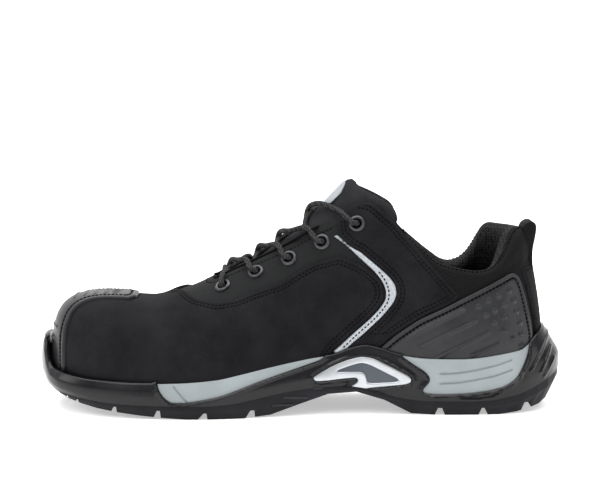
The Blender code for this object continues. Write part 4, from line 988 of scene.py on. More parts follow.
def make_materials():
    """Every finish, in the colours that the panel gives."""
    colours = bpy.context.scene.sneaker_colours
    materials["leather"] = leather_material(colours.leather)
    materials["ripstop"] = woven_material("eyestay_cloth", shade(colours.cloth, 2.0), 48, 420.0, 700.0)
    materials["tongue"] = leather_material(shade(colours.leather, 1.8))
    materials["twill"] = woven_material("collar_cloth", shade(colours.cloth, 0.85), -35, 270.0, 520.0)
    materials["lining"] = mesh_lining_material(colours.lining)
    materials["guard"] = rubber_material("moulded_rubber", colours.guard, 0.36, 1100.0, 0.0, 0.24)
    sole_black = shade(colours.sole, 0.8)
    materials["frame"] = rubber_material("sole_frame_black", sole_black, 0.26, 500.0, 0.15, 0.19)
    materials["tread"] = rubber_material("tread_rubber", shade(colours.sole, 1.7), 0.6, 700.0)
    materials["foam"] = foam_material(colours.midsole)
    materials["silver"] = trim_material("silver_trim_satin", colours.silver, 0.3, 0.6)
    materials["plate"] = trim_material("grey_plate", colours.plate, 0.42, 0.2)
    materials["tape"] = reflective_material(colours.tape)
    materials["patch"] = trim_material("patch_print", shade(colours.tape, 0.6), 0.7, 0.0)
    materials["metal"] = trim_material("dark_metal", colours.metal, 0.33, 0.9)
    materials["lace"] = braid_material(colours.lace)
    materials["thread"] = thread_material(colours.thread)
    materials["insole"] = mesh_lining_material(colours.lining)


# Outlines of the panels


def side_view(table, height=TONGUE_HEIGHT):
    """The places of a table in side view, in metres."""
    return [(-LENGTH / 2 + share * LENGTH, up * height) for share, up in table]


def in_plan(table, grow=0.0, swing=False):
    """The outline of a table in plan, in metres, both sides of the middle line."""
    near = []
    far = []
    for share, half, *room in table:
        mid = middle(share) if swing else 0.0
        x = -LENGTH / 2 + share * LENGTH + grow
        reach = half * BALL_WIDTH + sum(room) * EYELET_ROOM + abs(grow)
        near.append((x, mid - reach))
        far.append((x, mid + reach))
    return near + far[::-1]


def opening_line(side):
    """The upper's edge along the throat's top and the collar's seam, closed above the shoe."""
    seam = []
    for share, column_side in collar_columns(24):
        if column_side == side or share == 1.0:
            crest, _ = down_column(share, side, 0.0)
            point, _ = down_column(share, side, ROLL_DEPTH(crest_share(crest.x, side)) * 0.6)
            seam.append((point.x, point.z))
    seam.sort()
    front = seam[0][0]
    line = [(x, z) for x, z in side_view(THROAT_TOP) if x < front]
    line += [(front, CREST_LINE(crest_share(front, side)) - 3 * MM)] + seam
    line += [(0.6 * LENGTH, line[-1][1]), (0.6 * LENGTH, HIGH), (line[0][0], HIGH)]
    return line


def eyelet_spots():
    """Each eyelet's number, side, place on the last and outward way."""
    tree = skins["tree"]
    for number, (share, up) in enumerate(EYELETS, 1):
        for side in (-1, 1):
            start = Vector((-LENGTH / 2 + share * LENGTH, side * WIDE, up * TONGUE_HEIGHT))
            point, normal, _, _ = tree.ray_cast(start, Vector((0, -side, 0)))
            yield number, side, point, normal if normal.y * side > 0 else -normal


def above(x, y, lift):
    """The point this far above the last, straight over a place in plan."""
    point, normal, _, _ = skins["tree"].ray_cast(Vector((x, y, HIGH)), Vector((0, 0, -1)))
    return point + (normal if normal.z > 0 else -normal) * lift


# Where rows of stitches stop, short of what other panels or the sole cover
THROAT_SEAM_END = 20 * MM
VAMP_SEAM_FRONT = -85 * MM
VAMP_SEAM_FOOT = 50 * MM
CRESCENT_SEAM_TOP = 88 * MM
QUARTER_SEAM_FOOT = 45 * MM
COUNTER_SEAM_FOOT = 38 * MM
BACK_SEAM_FOOT = 50 * MM
# A depth that no place on the shoe reaches, for what lies far from a hole
FAR_OFF = 1.0


def panel(name, look, node, slot, *shape, **details):
    """Cuts a panel out of the last's skin and finishes it."""
    piece = cut_panel(name, skins["last"], *shape, **details)
    return finish_piece(piece, materials[look], (node,))


def make_upper():
    """The cloth upper: hollow, with the throat, the collar's opening and the eyelet holes cut out."""
    throat = Outline(in_plan(THROAT_PLAN), (0, 1))
    near, far = Outline(opening_line(-1)), Outline(opening_line(1))
    spots = [(np.array(point), np.array(normal)) for _, _, point, normal in eyelet_spots()]

    def depth(places, ways):
        over = np.where(places[:, 1] < 0, near.depth(places, ways), far.depth(places, ways))
        parts = [-throat.depth(places, ways), -over]
        for point, normal in spots:
            away = places - point
            along = away @ normal
            aside = np.linalg.norm(away - along[:, None] * normal, axis=1) - EYELET_HOLE - 0.2 * MM
            parts.append(np.where(np.abs(along) < EYELET_REACH, aside, FAR_OFF))
        return np.minimum.reduce(parts)

    return panel(
        "cloth_upper", "ripstop", "upper", "textile", depth, 0.0, 0.01 * MM, edge=0.8 * MM,
        stitched=outside(throat.depth), offsets=(5.0 * MM,), thread="cloth",
        keep=lambda co: co.x < THROAT_SEAM_END, wall=UPPER_WALL,
    )


# Soft folds where the forefoot bends, in side view: from, to, half width and depth
CREASES = (
    ((0.300, 0.420), (0.345, 0.250), 5.0 * MM, 0.55 * MM),
    ((0.350, 0.440), (0.385, 0.270), 6.0 * MM, 0.50 * MM),
    ((0.262, 0.440), (0.290, 0.300), 4.0 * MM, 0.35 * MM),
    ((0.430, 0.470), (0.470, 0.320), 7.0 * MM, 0.40 * MM),
)


def creases(places, depths):
    """The folds that the leather keeps, and a faint unevenness over the whole panel."""
    x, y, z = places.T
    height = 0.12 * MM * np.sin(x * 150 + 2 * np.sin(z * 120)) * np.sin(z * 170 + y * 60)
    for start, end, width, deep in CREASES:
        height -= deep * bump(line_distance(places, *side_view((start, end))), width)
    return height


def make_vamp():
    """The leather over the forefoot, round the throat's cloth and behind the toe guard."""
    back = side_view(VAMP_BACK)
    front = [(-LENGTH, LOW), (-LENGTH, HIGH), (back[0][0] + 2 * MM, HIGH)]
    region = Outline(front + back[1:] + [(back[-1][0], LOW)])
    mouth = Outline(in_plan(VAMP_MOUTH + ((0.62, *VAMP_MOUTH[-1][1:]),)), (0, 1))
    guard = Outline(in_plan(GUARD_PLAN, 0.2 * MM, swing=True), (0, 1), soften=1)
    edge_line = within(region.depth, outside(mouth.depth))
    return panel(
        "leather_vamp", "leather", "vamp_panel", "nubuck", within(edge_line, outside(guard.depth)),
        0.15 * MM, settings().leather, stitched=edge_line, offsets=(2.6 * MM, 4.5 * MM), relief=creases,
        keep=lambda co: co.x > VAMP_SEAM_FRONT or co.z > VAMP_SEAM_FOOT,
    )


# The quarter strip's top edge over the last pair of eyelets, in side view
STRIP_TOP = [
    (9.5 * MM, 103.6 * MM), (15.0 * MM, 106.6 * MM), (19.6 * MM, 109.8 * MM), (27.6 * MM, 114.5 * MM),
    (32.6 * MM, 117.4 * MM), (40.0 * MM, 117.8 * MM), (44.0 * MM, 116.8 * MM), (50.0 * MM, 115.0 * MM),
]
# The strips close in over the tongue behind this place, over this length and by this share
STRIP_CLOSES = 12 * MM
STRIP_CLOSING = 12 * MM
STRIP_CLOSER = 0.4


def strip_throat():
    """The throat's outline in plan between the quarter strips."""
    places = []
    for x, y in in_plan(THROAT_PLAN):
        closed = float(np.clip((x - STRIP_CLOSES) / STRIP_CLOSING, 0, 1))
        places.append((x, y * (1 - STRIP_CLOSER * closed)))
    return Outline(places, (0, 1), soften=1)


def strip_outline(right):
    """The quarter strip in side view, between the crescent, the throat's top and the heel panel."""
    top = side_view([row for row in THROAT_TOP if row[0] < STRIP_BACK[0][0]])
    top = [(right[0][0] + CLEAR, HIGH), (top[0][0], HIGH)] + top
    edge = [(x + CLEAR, z) for x, z in right]
    back = side_view(STRIP_BACK) + side_view(STRIP_HEEL, BACK_HEIGHT)
    bottom = [(x - CLEAR, z + 0.4 * MM) for x, z in side_view(COUNTER[:7], BACK_HEIGHT)]
    return Outline(edge[::-1] + top + back + bottom[::-1])


def make_quarters():
    """The quarter strips of leather, and the crescents of tape in front of them."""
    left, right = side_view(CRESCENT_LEFT), side_view(CRESCENT_RIGHT)
    band, strip = Outline(left + right[::-1]), strip_outline(right)
    behind = 100 * MM
    seam_side = Outline(left + [(behind, left[-1][1]), (behind, left[0][1])], soften=1)
    throat = Outline(in_plan(THROAT_PLAN, 0.2 * MM), (0, 1))
    ahead = [(-behind, LOW), (-behind, STRIP_TOP[0][1])]
    cap = Outline(ahead + STRIP_TOP + [(2 * behind, STRIP_TOP[-1][1]), (2 * behind, LOW)])
    eyelets = [np.array(point) for number, _, point, _ in eyelet_spots() if number == len(EYELETS)]

    def clear_of_eyelet(places, ways):
        away = [np.linalg.norm(places - point, axis=1) for point in eyelets]
        return np.minimum.reduce(away) - EYELET_HOLE - 0.3 * MM

    leather = settings().leather
    for side, word in SIDES:
        own = one_side(side)
        panel(
            "crescent_tape_" + word, "tape", "crescent_" + word, "reflective",
            within(band.depth, own, outside(throat.depth)), 0.2 * MM, leather, edge=0.6 * MM, refine=2,
            stitched=seam_side.depth, offsets=(1.75 * MM,), groove=0.1 * MM,
            keep=lambda co: co.z < CRESCENT_SEAM_TOP,
        )
        region = within(strip.depth, own, outside(strip_throat().depth), cap.depth, clear_of_eyelet)
        panel(
            "leather_quarter_" + word, "leather", "quarter_strip_" + word, "nubuck", region, 0.25 * MM,
            leather, stitched=strip.depth, offsets=(2.3 * MM, 4.2 * MM), relief=creases,
            keep=lambda co: co.z > QUARTER_SEAM_FOOT,
        )


# Raised lines on the heel panel, from and to, and its studs, in shares of the length and tongue's height
COUNTER_LINES = (
    ((0.697, 0.333), (0.805, 0.456)), ((0.725, 0.294), (0.827, 0.406)), ((0.753, 0.245), (0.850, 0.356)),
    ((0.819, 0.258), (0.869, 0.305)),
)
COUNTER_STUDS = (
    (0.888, 0.531), (0.869, 0.514), (0.850, 0.492), (0.831, 0.468), (0.896, 0.488), (0.878, 0.472),
    (0.862, 0.452), (0.846, 0.434), (0.901, 0.439), (0.880, 0.421), (0.862, 0.398), (0.908, 0.390),
    (0.879, 0.362), (0.910, 0.340), (0.895, 0.326), (0.911, 0.292),
)
STUD_RADIUS = 1.5 * MM


def counter_relief(places, depths):
    """The heel panel's groove inside its edge, its raised lines and its studs."""
    height = np.zeros(len(places))
    for line in COUNTER_LINES:
        height += 1.0 * MM * bump(line_distance(places, *side_view(line)), 1.2 * MM)
    for x, z in side_view(COUNTER_STUDS):
        away = np.hypot(places[:, 0] - x, places[:, 2] - z)
        height += 1.0 * MM * np.sqrt(np.clip(1 - (away / STUD_RADIUS) ** 2, 0, 1))
    inner = np.clip((depths - 4.2 * MM) / (1.0 * MM), 0, 1)
    return height * inner - 0.8 * MM * bump(depths - 3.0 * MM, 1.0 * MM)


def make_counters():
    """The moulded heel panels."""
    region = Outline(side_view(COUNTER, BACK_HEIGHT))
    for side, word in SIDES:
        panel(
            "heel_panel_" + word, "guard", "counter_" + word, "moulded_rubber",
            within(region.depth, one_side(side)), 0.2 * MM, settings().counter, refine=3,
            stitched=region.depth, offsets=(3.0 * MM,), thread="rubber", groove=0.1 * MM,
            relief=counter_relief, keep=lambda co: co.z > COUNTER_SEAM_FOOT,
        )


def make_back_strip():
    """The leather strip down the middle of the heel's back."""
    region = Outline(side_view(BACK_STRIP, BACK_HEIGHT))
    return panel(
        "leather_back_strip", "leather", "back_strip", "nubuck", region.depth, 0.2 * MM,
        settings().leather, stitched=region.depth, offsets=(2.0 * MM,),
        keep=lambda co: co.z > BACK_SEAM_FOOT,
    )


# Bars across the toe guard's top: share of the length, and half width
GUARD_BARS = (
    (0.072, 8.0 * MM), (0.090, 10.0 * MM), (0.108, 11.0 * MM), (0.127, 11.0 * MM), (0.146, 10.0 * MM),
)
# Bars across its front: height, and half width
GUARD_FRONT_BARS = ((38.5 * MM, 15.0 * MM), (45.5 * MM, 14.0 * MM))
# The top's bars fade out below this height, and the front's behind this place
BARS_LOW, BARS_FADE = 45 * MM, 6 * MM
FRONT_BARS_BACK, FRONT_BARS_FADE = -128 * MM, 4 * MM


def guard_relief(places, depths):
    """The toe guard's groove inside its edge, and its bars."""
    height = -0.9 * MM * bump(depths - 4.0 * MM, 1.3 * MM)
    mid = TOE_SWING / 2
    top = np.clip((places[:, 2] - BARS_LOW) / BARS_FADE, 0, 1)
    for share, half in GUARD_BARS:
        x = -LENGTH / 2 + share * LENGTH
        bar = line_distance(places, (x, mid - half), (x, mid + half), (0, 1))
        height = height + 0.6 * MM * bump(bar, 1.3 * MM) * top
    front = np.clip((FRONT_BARS_BACK - places[:, 0]) / FRONT_BARS_FADE, 0, 1)
    for z, half in GUARD_FRONT_BARS:
        bar = line_distance(places, (mid - half, z), (mid + half, z), (1, 2))
        height = height + 0.6 * MM * bump(bar, 1.3 * MM) * front
    return height


def make_toe_guard():
    """The moulding over the toe's front."""
    region = Outline(in_plan(GUARD_PLAN, swing=True), (0, 1), soften=1)
    return panel(
        "toe_guard_moulding", "guard", "toe_guard", "moulded_rubber", region.depth, 0.2 * MM,
        settings().guard, edge=1.2 * MM, refine=2, stitched=region.depth, offsets=(4.0 * MM,),
        thread="rubber", groove=0.1 * MM, relief=guard_relief,
    )


# How far down the collar's cloth goes outside, along the shoe, as a share of the tongue's height
CLOTH_FOOT = (
    (0.690, 0.700), (0.715, 0.630), (0.752, 0.540), (0.800, 0.440), (0.836, 0.470), (0.874, 0.510),
    (0.900, 0.540), (0.930, 0.570), (1.000, 0.570),
)
CLOTH_ROWS = 14
# The middle of the foot's opening, along the shoe
OPENING_MIDDLE = 90 * MM


def raised(share, side, down, lift):
    """The point this far down the column from the crest, lifted off the last."""
    point, way = down_column(share, side, down)
    return point + outward(share, side, point, way) * lift


def collar_rings():
    """The collar's sections: the outside up from under the heel panel, over the roll and down inside."""
    foot = Line(CLOTH_FOOT)
    outer_share = Line([(row[0], row[2]) for row in reversed(COLLAR_SECTION[:5])])
    rings = []
    for share, side in collar_columns(CREST_FINE):
        crest, _ = down_column(share, side, 0.0)
        place = crest_share(crest.x, side)
        depth, full, thick = ROLL_DEPTH(place), ROLL_FULLNESS(place) + 0.9 * MM, ROLL_THICKNESS(place)
        low = crest.z - foot(place) * TONGUE_HEIGHT
        lowest = max(low, depth)
        ring = []
        for k in range(CLOTH_ROWS):
            down = depth * 0.10 + (lowest - depth * 0.10) * (1 - k / CLOTH_ROWS)
            swell = outer_share(min(down / depth, 1.0)) if down < depth else 0.15
            ring.append(raised(share, side, down, 0.45 * MM + swell * full))
        for down, inward, out in COLLAR_SECTION[4:]:
            ring.append(raised(share, side, depth * down, out * full - inward * thick))
        for down in (1.70, 1.2, 0.95):
            ring.append(raised(share, side, depth * down, -1.5 * MM))
        for k in (1, 2, 3):
            down = depth * 0.95 + (lowest - depth * 0.95) * k / 4
            ring.append(raised(share, side, down, -0.4 * MM))
        rings.append(ring)
    return rings


def make_collar():
    """The padded collar: a closed roll whose cloth runs down under the heel panel."""
    rings = collar_rings()
    deselect()
    bm, made = loft(rings)
    places = {vert: k for ring in made for k, vert in enumerate(ring)}
    inside = range(CLOTH_ROWS + 1, len(rings[0]) - 2)
    for face in bm.faces:
        face.material_index = int(all(places[vert] in inside for vert in face.verts))
    collar = mesh_object("padded_collar", bm)
    apply_modifier(collar, "SUBSURF", levels=2, render_levels=2)
    which = [face.material_index for face in collar.data.polygons]
    finish_piece(collar, materials["twill"], ("collar",))
    collar.data.materials.append(materials["lining"])
    collar.data.polygons.foreach_set("material_index", which)
    run = []
    for point in [ring[CLOTH_ROWS] for ring in rings]:
        out = Vector((point.x - OPENING_MIDDLE, point.y, 0.0)).normalized()
        run.append((point + out * 0.1 * MM, out))
    seams["cloth"].append(run)
    return collar


def rectangle(start, end, half):
    """The corners of a rectangle in plan."""
    return [(start, -half), (end, -half), (end, half), (start, half)]


# The plain patch on the tongue, in plan, and how far the tongue reaches either way
PATCH_PLAN = rectangle(12.5 * MM, 24.5 * MM, 9.5 * MM)
TONGUE_REACH = 75 * MM


def make_tongue():
    """The tongue: a pad whose edge is rounded, under the throat and standing up behind the laces."""
    under = UPPER_WALL + 3 * CLEAR
    side = Outline(side_view(TONGUE_SIDE))
    half = Outline(rectangle(-TONGUE_REACH, TONGUE_REACH, TONGUE_HALF_WIDTH), (0, 1), soften=1)
    region = within(side.depth, half.depth)
    edge = 4.0 * MM

    def sheet(name, way_up):
        def relief(places, depths):
            t = np.clip(depths / edge, 0, 1)
            swell = np.sqrt(np.clip(1 - (1 - t) ** 2, 0, 1))
            pad = 0.35 * MM * np.sin(places[:, 0] * 300)
            rise = way_up * (TONGUE_THICKNESS / 2 + 0.3 * MM) * swell
            return rise - TONGUE_THICKNESS / 2 + pad * (way_up > 0)
        return cut_panel(name, skins["last"], region, -under, 0.0, edge=edge, relief=relief, wall=0.4 * MM)

    top = sheet("tongue_pad", 1)
    below = sheet("tongue_back", -1)
    patch = cut_panel(
        "tongue_patch", skins["last"], within(side.depth, Outline(PATCH_PLAN, (0, 1), soften=1).depth),
        0.75 * MM - under, 0.5 * MM, edge=0.5 * MM, wall=0.4 * MM,
    )
    finish_piece(patch, materials["patch"])
    finish_piece(top, materials["tongue"], ("tongue",))
    finish_piece(below, materials["lining"], ())
    return top


# Raised ribs, lines and grooves of the sole in side view, as shares of the length and the rim's height
HEEL_RIBS = (
    ((0.973, 0.912), (0.934, 0.531)), ((0.976, 0.772), (0.951, 0.492)), ((0.981, 0.640), (0.959, 0.437)),
)
FLANK_RIBS = (
    ((0.507, 0.340), (0.542, 0.335)), ((0.469, 0.239), (0.514, 0.226)), ((0.447, 0.148), (0.486, 0.148)),
)
HEEL_LINE = (
    (0.744, 0.222), (0.800, 0.200), (0.837, 0.198), (0.865, 0.232), (0.894, 0.325), (0.913, 0.454),
    (0.926, 0.632), (0.933, 0.802),
)
FRONT_GROOVE = ((0.267, 0.402), (0.293, 0.196))
REAR_GROOVES = (
    ((0.762, 0.505), (0.790, 0.512), (0.827, 0.546), (0.865, 0.600), (0.897, 0.662)),
    ((0.762, 0.387), (0.790, 0.396), (0.827, 0.430), (0.865, 0.477), (0.897, 0.546)),
)


def sole_line(table):
    """A line on the sole, in side view."""
    return side_view(table, RIM_HEIGHT)


def sole_relief(places, depths):
    """Ribs on the heel, and the line that runs below the sole's rim."""
    height = sum(0.9 * MM * bump(path_distance(places, sole_line(rib)), 1.2 * MM) for rib in HEEL_RIBS)
    return np.maximum(height, 0.6 * MM * bump(path_distance(places, sole_line(HEEL_LINE)), 1.2 * MM))


# The arch's trim with its hook, and the plate behind it, as shares of the length and the rim's height
TRIM_HOOK = (
    (0.5229, 0.470), (0.5395, 0.531), (0.5611, 0.607), (0.5876, 0.673), (0.6125, 0.710), (0.6274, 0.703),
    (0.6407, 0.684), (0.6673, 0.601), (0.6873, 0.536), (0.7047, 0.477), (0.7087, 0.431), (0.7061, 0.396),
    (0.6975, 0.374), (0.6676, 0.353), (0.6277, 0.322), (0.5852, 0.291), (0.5871, 0.318), (0.5961, 0.353),
    (0.6057, 0.396), (0.6084, 0.427), (0.6044, 0.453), (0.5811, 0.444), (0.5479, 0.422), (0.5286, 0.418),
)
PLATE_HOOK = (
    (0.5644, 0.531), (0.5877, 0.588), (0.6125, 0.634), (0.6275, 0.618), (0.6541, 0.536), (0.6858, 0.433),
    (0.6792, 0.409), (0.6526, 0.396), (0.6257, 0.385), (0.6236, 0.455), (0.6209, 0.503), (0.6143, 0.527),
    (0.5910, 0.529),
)


# The raised rim round the sole's windows: its highest place, how it fades there, and its ends
RIM_TOP = 34 * MM
RIM_FADE = 2 * MM
RIM_ENDS = (-85 * MM, 135 * MM)


def make_sole():
    """The sole's frame with its windows, the foam in them, and the arch's trim and plates."""
    sizes = settings()
    tables = (FRONT_WINDOW, REAR_WINDOW, TRIM_HOOK, PLATE_HOOK)
    front, rear, insert, plate = (Outline(sole_line(table), soften=1) for table in tables)

    def frame_relief(places, depths):
        below = np.clip((RIM_TOP - places[:, 2]) / RIM_FADE, 0, 1)
        beside = (places[:, 0] > RIM_ENDS[0]) & (places[:, 0] < RIM_ENDS[1])
        return sole_relief(places, depths) + sizes.rim * bump(depths - 1.3 * MM, 1.1 * MM) * beside * below

    openings = [outside(part.depth) for part in (front, rear, insert)]
    sole = cut_panel(
        "sole_frame_moulding", skins["sole"], within(*openings), 0.0, 0.5 * MM, edge=0.8 * MM, refine=1,
        relief=frame_relief, wall=2.2 * MM,
    )
    finish_piece(sole, materials["frame"], ("sole_frame",))

    def pad_relief(places, depths):
        height = -0.9 * MM * bump(path_distance(places, sole_line(FRONT_GROOVE)), 0.8 * MM)
        for groove in REAR_GROOVES:
            height -= 1.0 * MM * bump(path_distance(places, sole_line(groove)), 1.0 * MM)
        return height

    pads = cut_panel(
        "midsole_foam_sides", skins["sole"],
        lambda places, ways: np.maximum(front.depth(places, ways), rear.depth(places, ways)) + 0.8 * MM,
        -0.5 * MM, 0.01 * MM, edge=0.3 * MM, refine=3, relief=pad_relief, wall=1.5 * MM,
    )
    finish_piece(pads, materials["foam"], ("midsole",))
    for side, word in SIDES:
        own = one_side(side)
        trim = cut_panel(
            "arch_trim_" + word, skins["sole"], within(insert.depth, own, outside(plate.depth)), 0.0,
            INSERT_RAISE, edge=1.0 * MM, refine=3, wall=2.0 * MM,
        )
        finish_piece(trim, materials["silver"], ("arch_insert_" + word,))
        inner = cut_panel(
            "arch_plate_" + word, skins["sole"],
            lambda places, ways, own=own: np.minimum(plate.depth(places, ways) + 0.6 * MM, own(places, ways)),
            -0.4 * MM, 0.3 * MM, edge=0.8 * MM, refine=2, wall=1.2 * MM,
        )
        finish_piece(inner, materials["plate"], ("arch_panel_" + word,))


# Places along a flank rib, and a distance beside the shoe from which its surface is looked for
RIB_STEPS = 6
BESIDE = 100 * MM


def make_flank_ribs():
    """Short ribs on the outsole's flank, each laid on the outsole's own surface."""
    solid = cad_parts["outsole"]
    points = [solid.matrix_world @ vert.co for vert in solid.data.vertices]
    tree = BVHTree.FromPolygons(points, [list(face.vertices) for face in solid.data.polygons])
    for number, (start, end) in enumerate(side_view(rib, RIM_HEIGHT) for rib in FLANK_RIBS):
        for side, word in SIDES:
            line = []
            for k in range(RIB_STEPS + 1):
                x, z = (a + (b - a) * k / RIB_STEPS for a, b in zip(start, end))
                hit, normal, _, _ = tree.ray_cast(Vector((x, side * BESIDE, z)), Vector((0, -side, 0)))
                if hit:
                    line.append(hit + normal * 0.1 * MM)
            if len(line) > 2:
                cord_piece(f"flank_rib_{word}_{number + 1}", line, 0.65 * MM, materials["guard"])


def make_eyelets():
    """Each eyelet is a turned ring: a profile is spun round the hole's axis."""
    profile = (
        (EYELET_HOLE, -BARREL_REACH), (EYELET_HOLE, 0.5 * MM), (EYELET_HOLE + 0.35 * MM, 1.15 * MM),
        (EYELET_HOLE + 1.0 * MM, 1.45 * MM), (EYELET_RADIUS - 0.5 * MM, 1.25 * MM),
        (EYELET_RADIUS, 0.7 * MM), (EYELET_RADIUS - 0.1 * MM, 0.05 * MM),
        (EYELET_HOLE + 0.8 * MM, -BARREL_REACH),
    )
    bm = bmesh.new()
    made = [bm.verts.new((radius, 0, up)) for radius, up in profile]
    edges = [bm.edges.new((a, b)) for a, b in zip(made, made[1:] + made[:1])]
    bmesh.ops.spin(
        bm, geom=made + edges, axis=(0, 0, 1), cent=(0, 0, 0), steps=28, angle=2 * math.pi, use_merge=True
    )
    bmesh.ops.remove_doubles(bm, verts=bm.verts, dist=0.005 * MM)
    bmesh.ops.recalc_face_normals(bm, faces=bm.faces)
    ring = bpy.data.meshes.new("eyelet_ring")
    bm.to_mesh(ring)
    bm.free()
    for number, side, point, normal in eyelet_spots():
        word = "outer" if side < 0 else "inner"
        seat = settings().leather + 0.1 * MM if number == len(EYELETS) else -0.1 * MM
        mesh = ring.copy()
        turned = normal.to_track_quat("Z", "Y").to_matrix()
        for vert in mesh.vertices:
            vert.co = point + turned @ (vert.co + Vector((0, 0, seat)))
        eyelet = linked(f"metal_eyelet_{word}_{number}", mesh)
        finish_piece(eyelet, materials["metal"], (f"eyelet_{word}_{number}",), sharp=50)


def rounded(points, steps=8):
    """A smooth path through the points."""
    path = []
    for i in range(len(points) - 1):
        p0, p1 = points[max(i - 1, 0)], points[i]
        p2, p3 = points[i + 1], points[min(i + 2, len(points) - 1)]
        for k in range(steps):
            t = k / steps
            bend = (2 * p0 - 5 * p1 + 4 * p2 - p3) * t * t + (3 * p1 - p0 - 3 * p2 + p3) * t**3
            path.append(0.5 * (2 * p1 + (p2 - p0) * t + bend))
    path.append(points[-1])
    return path


def cord_piece(name, points, radius, material, nodes=()):
    """A round cord along a smooth path, as a curve with a bevel that is made a mesh."""
    deselect()
    curve = bpy.data.curves.new(name, "CURVE")
    curve.dimensions = "3D"
    curve.bevel_depth = radius
    curve.bevel_resolution = 3
    curve.use_fill_caps = True
    spline = curve.splines.new("POLY")
    path = rounded(points)
    spline.points.add(len(path) - 1)
    for spot, place in zip(spline.points, path):
        spot.co = (*place, 1.0)
    make_active(linked(name, curve))
    bpy.ops.object.convert(target="MESH")
    close_faces(merge=0.001 * MM)
    return finish_piece(bpy.context.object, material, nodes, sharp=60)


def resting_place():
    """A function that gives the point a distance above the tongue or the upper, whichever is on top."""
    points, faces = [], []
    for name in ("tongue_pad", "cloth_upper", "leather_quarter_outer", "leather_quarter_inner"):
        mesh = bpy.data.objects[name].data
        base = len(points)
        points += [vert.co.copy() for vert in mesh.vertices]
        faces += [[base + k for k in face.vertices] for face in mesh.polygons]
    tree = BVHTree.FromPolygons(points, faces)

    def rest(x, y, lift):
        point, _, _, _ = tree.ray_cast(Vector((x, y, HIGH)), Vector((0, 0, -1)))
        return (point or above(x, y, 0.0)) + Vector((0, 0, lift))

    return rest


# How far behind the lower eyelet each strand crosses the tongue's ridge, from the front pair back
RIDGE_PLACES = (4.0 * MM, 1.5 * MM, -5.0 * MM, -7.0 * MM)
# How far the lace goes down into an eyelet, and where the throat's binding stops
LACE_DIP = 2.5 * MM
BINDING_END = 17 * MM


def make_laces():
    """The lace: a bar over the front pair of eyelets, and two strands behind each pair."""
    radius = settings().lace
    rest = resting_place()
    spots = {}
    for number, side, point, normal in eyelet_spots():
        extra = settings().leather if number == len(EYELETS) else 0.0
        spots[number, side] = (point, normal, 1.45 * MM + extra)
    bar = []
    for side in (-1, 1):
        point, normal, rim = spots[1, side]
        strand = [point - normal * LACE_DIP, point + normal * (rim + 0.4 * MM)]
        for share, lift in ((0.74, 1.3 * MM), (0.4, 0.7 * MM)):
            strand.append(rest(point.x - 0.4 * MM, point.y * share, radius + lift))
        bar.append(strand)
    points = bar[0] + [rest(spots[1, -1][0].x, 0.0, radius + 0.3 * MM)] + bar[1][::-1]
    cord_piece("lace_front_bar", points, radius, materials["lace"], ("lace_bar",))
    for number in range(1, len(EYELETS)):
        for side in (-1, 1):
            point, normal, rim = spots[number + 1, side]
            ridge = spots[number, side][0].x + RIDGE_PLACES[number - 1]
            span = point.x - ridge
            over = radius * (1.2 if side > 0 else 3.1)
            bow = 1.2 * MM if side < 0 else 0.0
            points = [
                point - normal * LACE_DIP, point + normal * (rim + 0.2 * MM),
                point + normal * (rim + radius * 1.2) + Vector((-2.4 * MM, -side * 1.6 * MM, 0)),
                rest(ridge + 0.62 * span, point.y * 0.72, radius + 1.0 * MM + bow),
                rest(ridge + 0.24 * span, point.y * 0.36, over * 0.6 + radius * 0.7 + bow),
                rest(ridge, 0.0, over + 0.7 * bow),
                rest(ridge - 2.0 * MM, -point.y * 0.34, radius + 0.8 * MM),
                rest(ridge - 2.2 * MM, -point.y * 0.58, radius * 0.9),
                rest(ridge - 1.0 * MM, -point.y * 0.74, 0.0) - Vector((0, 0, 3.0 * MM)),
            ]
            if number + 1 == len(EYELETS):
                points.insert(3, points[2].lerp(points[3], 0.5) + normal * 1.3 * MM)
            word = "outer" if side < 0 else "inner"
            nodes = (f"lace_cross_{number}",) if side < 0 else ()
            cord_piece(f"lace_strand_{word}_{number}", points, radius, materials["lace"], nodes)


def make_throat_binding():
    """The rolled edge of the cloth round the throat."""
    plan = in_plan(THROAT_PLAN)
    near = [above(x, y, 0.1 * MM) for x, y in plan if x < BINDING_END]
    return cord_piece("throat_binding", near, 0.75 * MM, materials["thread"], ())


# The pull tab's folded strap in side view, as shares of the length and the back's height
TAB_SIDE = (
    (0.921, 0.978), (0.926, 1.006), (0.933, 1.019), (0.940, 1.023), (0.9465, 1.013), (0.9490, 0.992),
    (0.9475, 0.949), (0.9425, 0.875), (0.9420, 0.826), (0.9438, 0.747), (0.930, 0.732), (0.926, 0.782),
    (0.931, 0.851), (0.932, 0.905), (0.926, 0.949),
)


def make_pull_tab():
    """The pull tab, a folded strap sewn flat: its side outline drawn across its width and bevelled, standing
    up behind the collar.
    """
    outline = Outline(side_view(TAB_SIDE, BACK_HEIGHT)).start.tolist()
    half = PULL_TAB_WIDTH / 2
    bm, _ = loft([[(x, y, z) for x, z in outline] for y in (-half, half)])
    tab = mesh_object("pull_tab_strap", bm)
    corner = math.radians(50)
    apply_modifier(tab, "BEVEL", width=0.7 * MM, segments=3, limit_method="ANGLE", angle_limit=corner)
    return finish_piece(tab, materials["leather"], ("pull_tab",), sharp=50)


# One stitch: rings along it, as shares of half its length, with each ring's share of the thread's
# radius and how far it stands up, and the points round each ring
STITCH_RINGS = ((-1.0, 0.35, -0.5), (-0.6, 0.95, 0.15), (0.6, 0.95, 0.15), (1.0, 0.35, -0.5))
STITCH_SIDES = 6


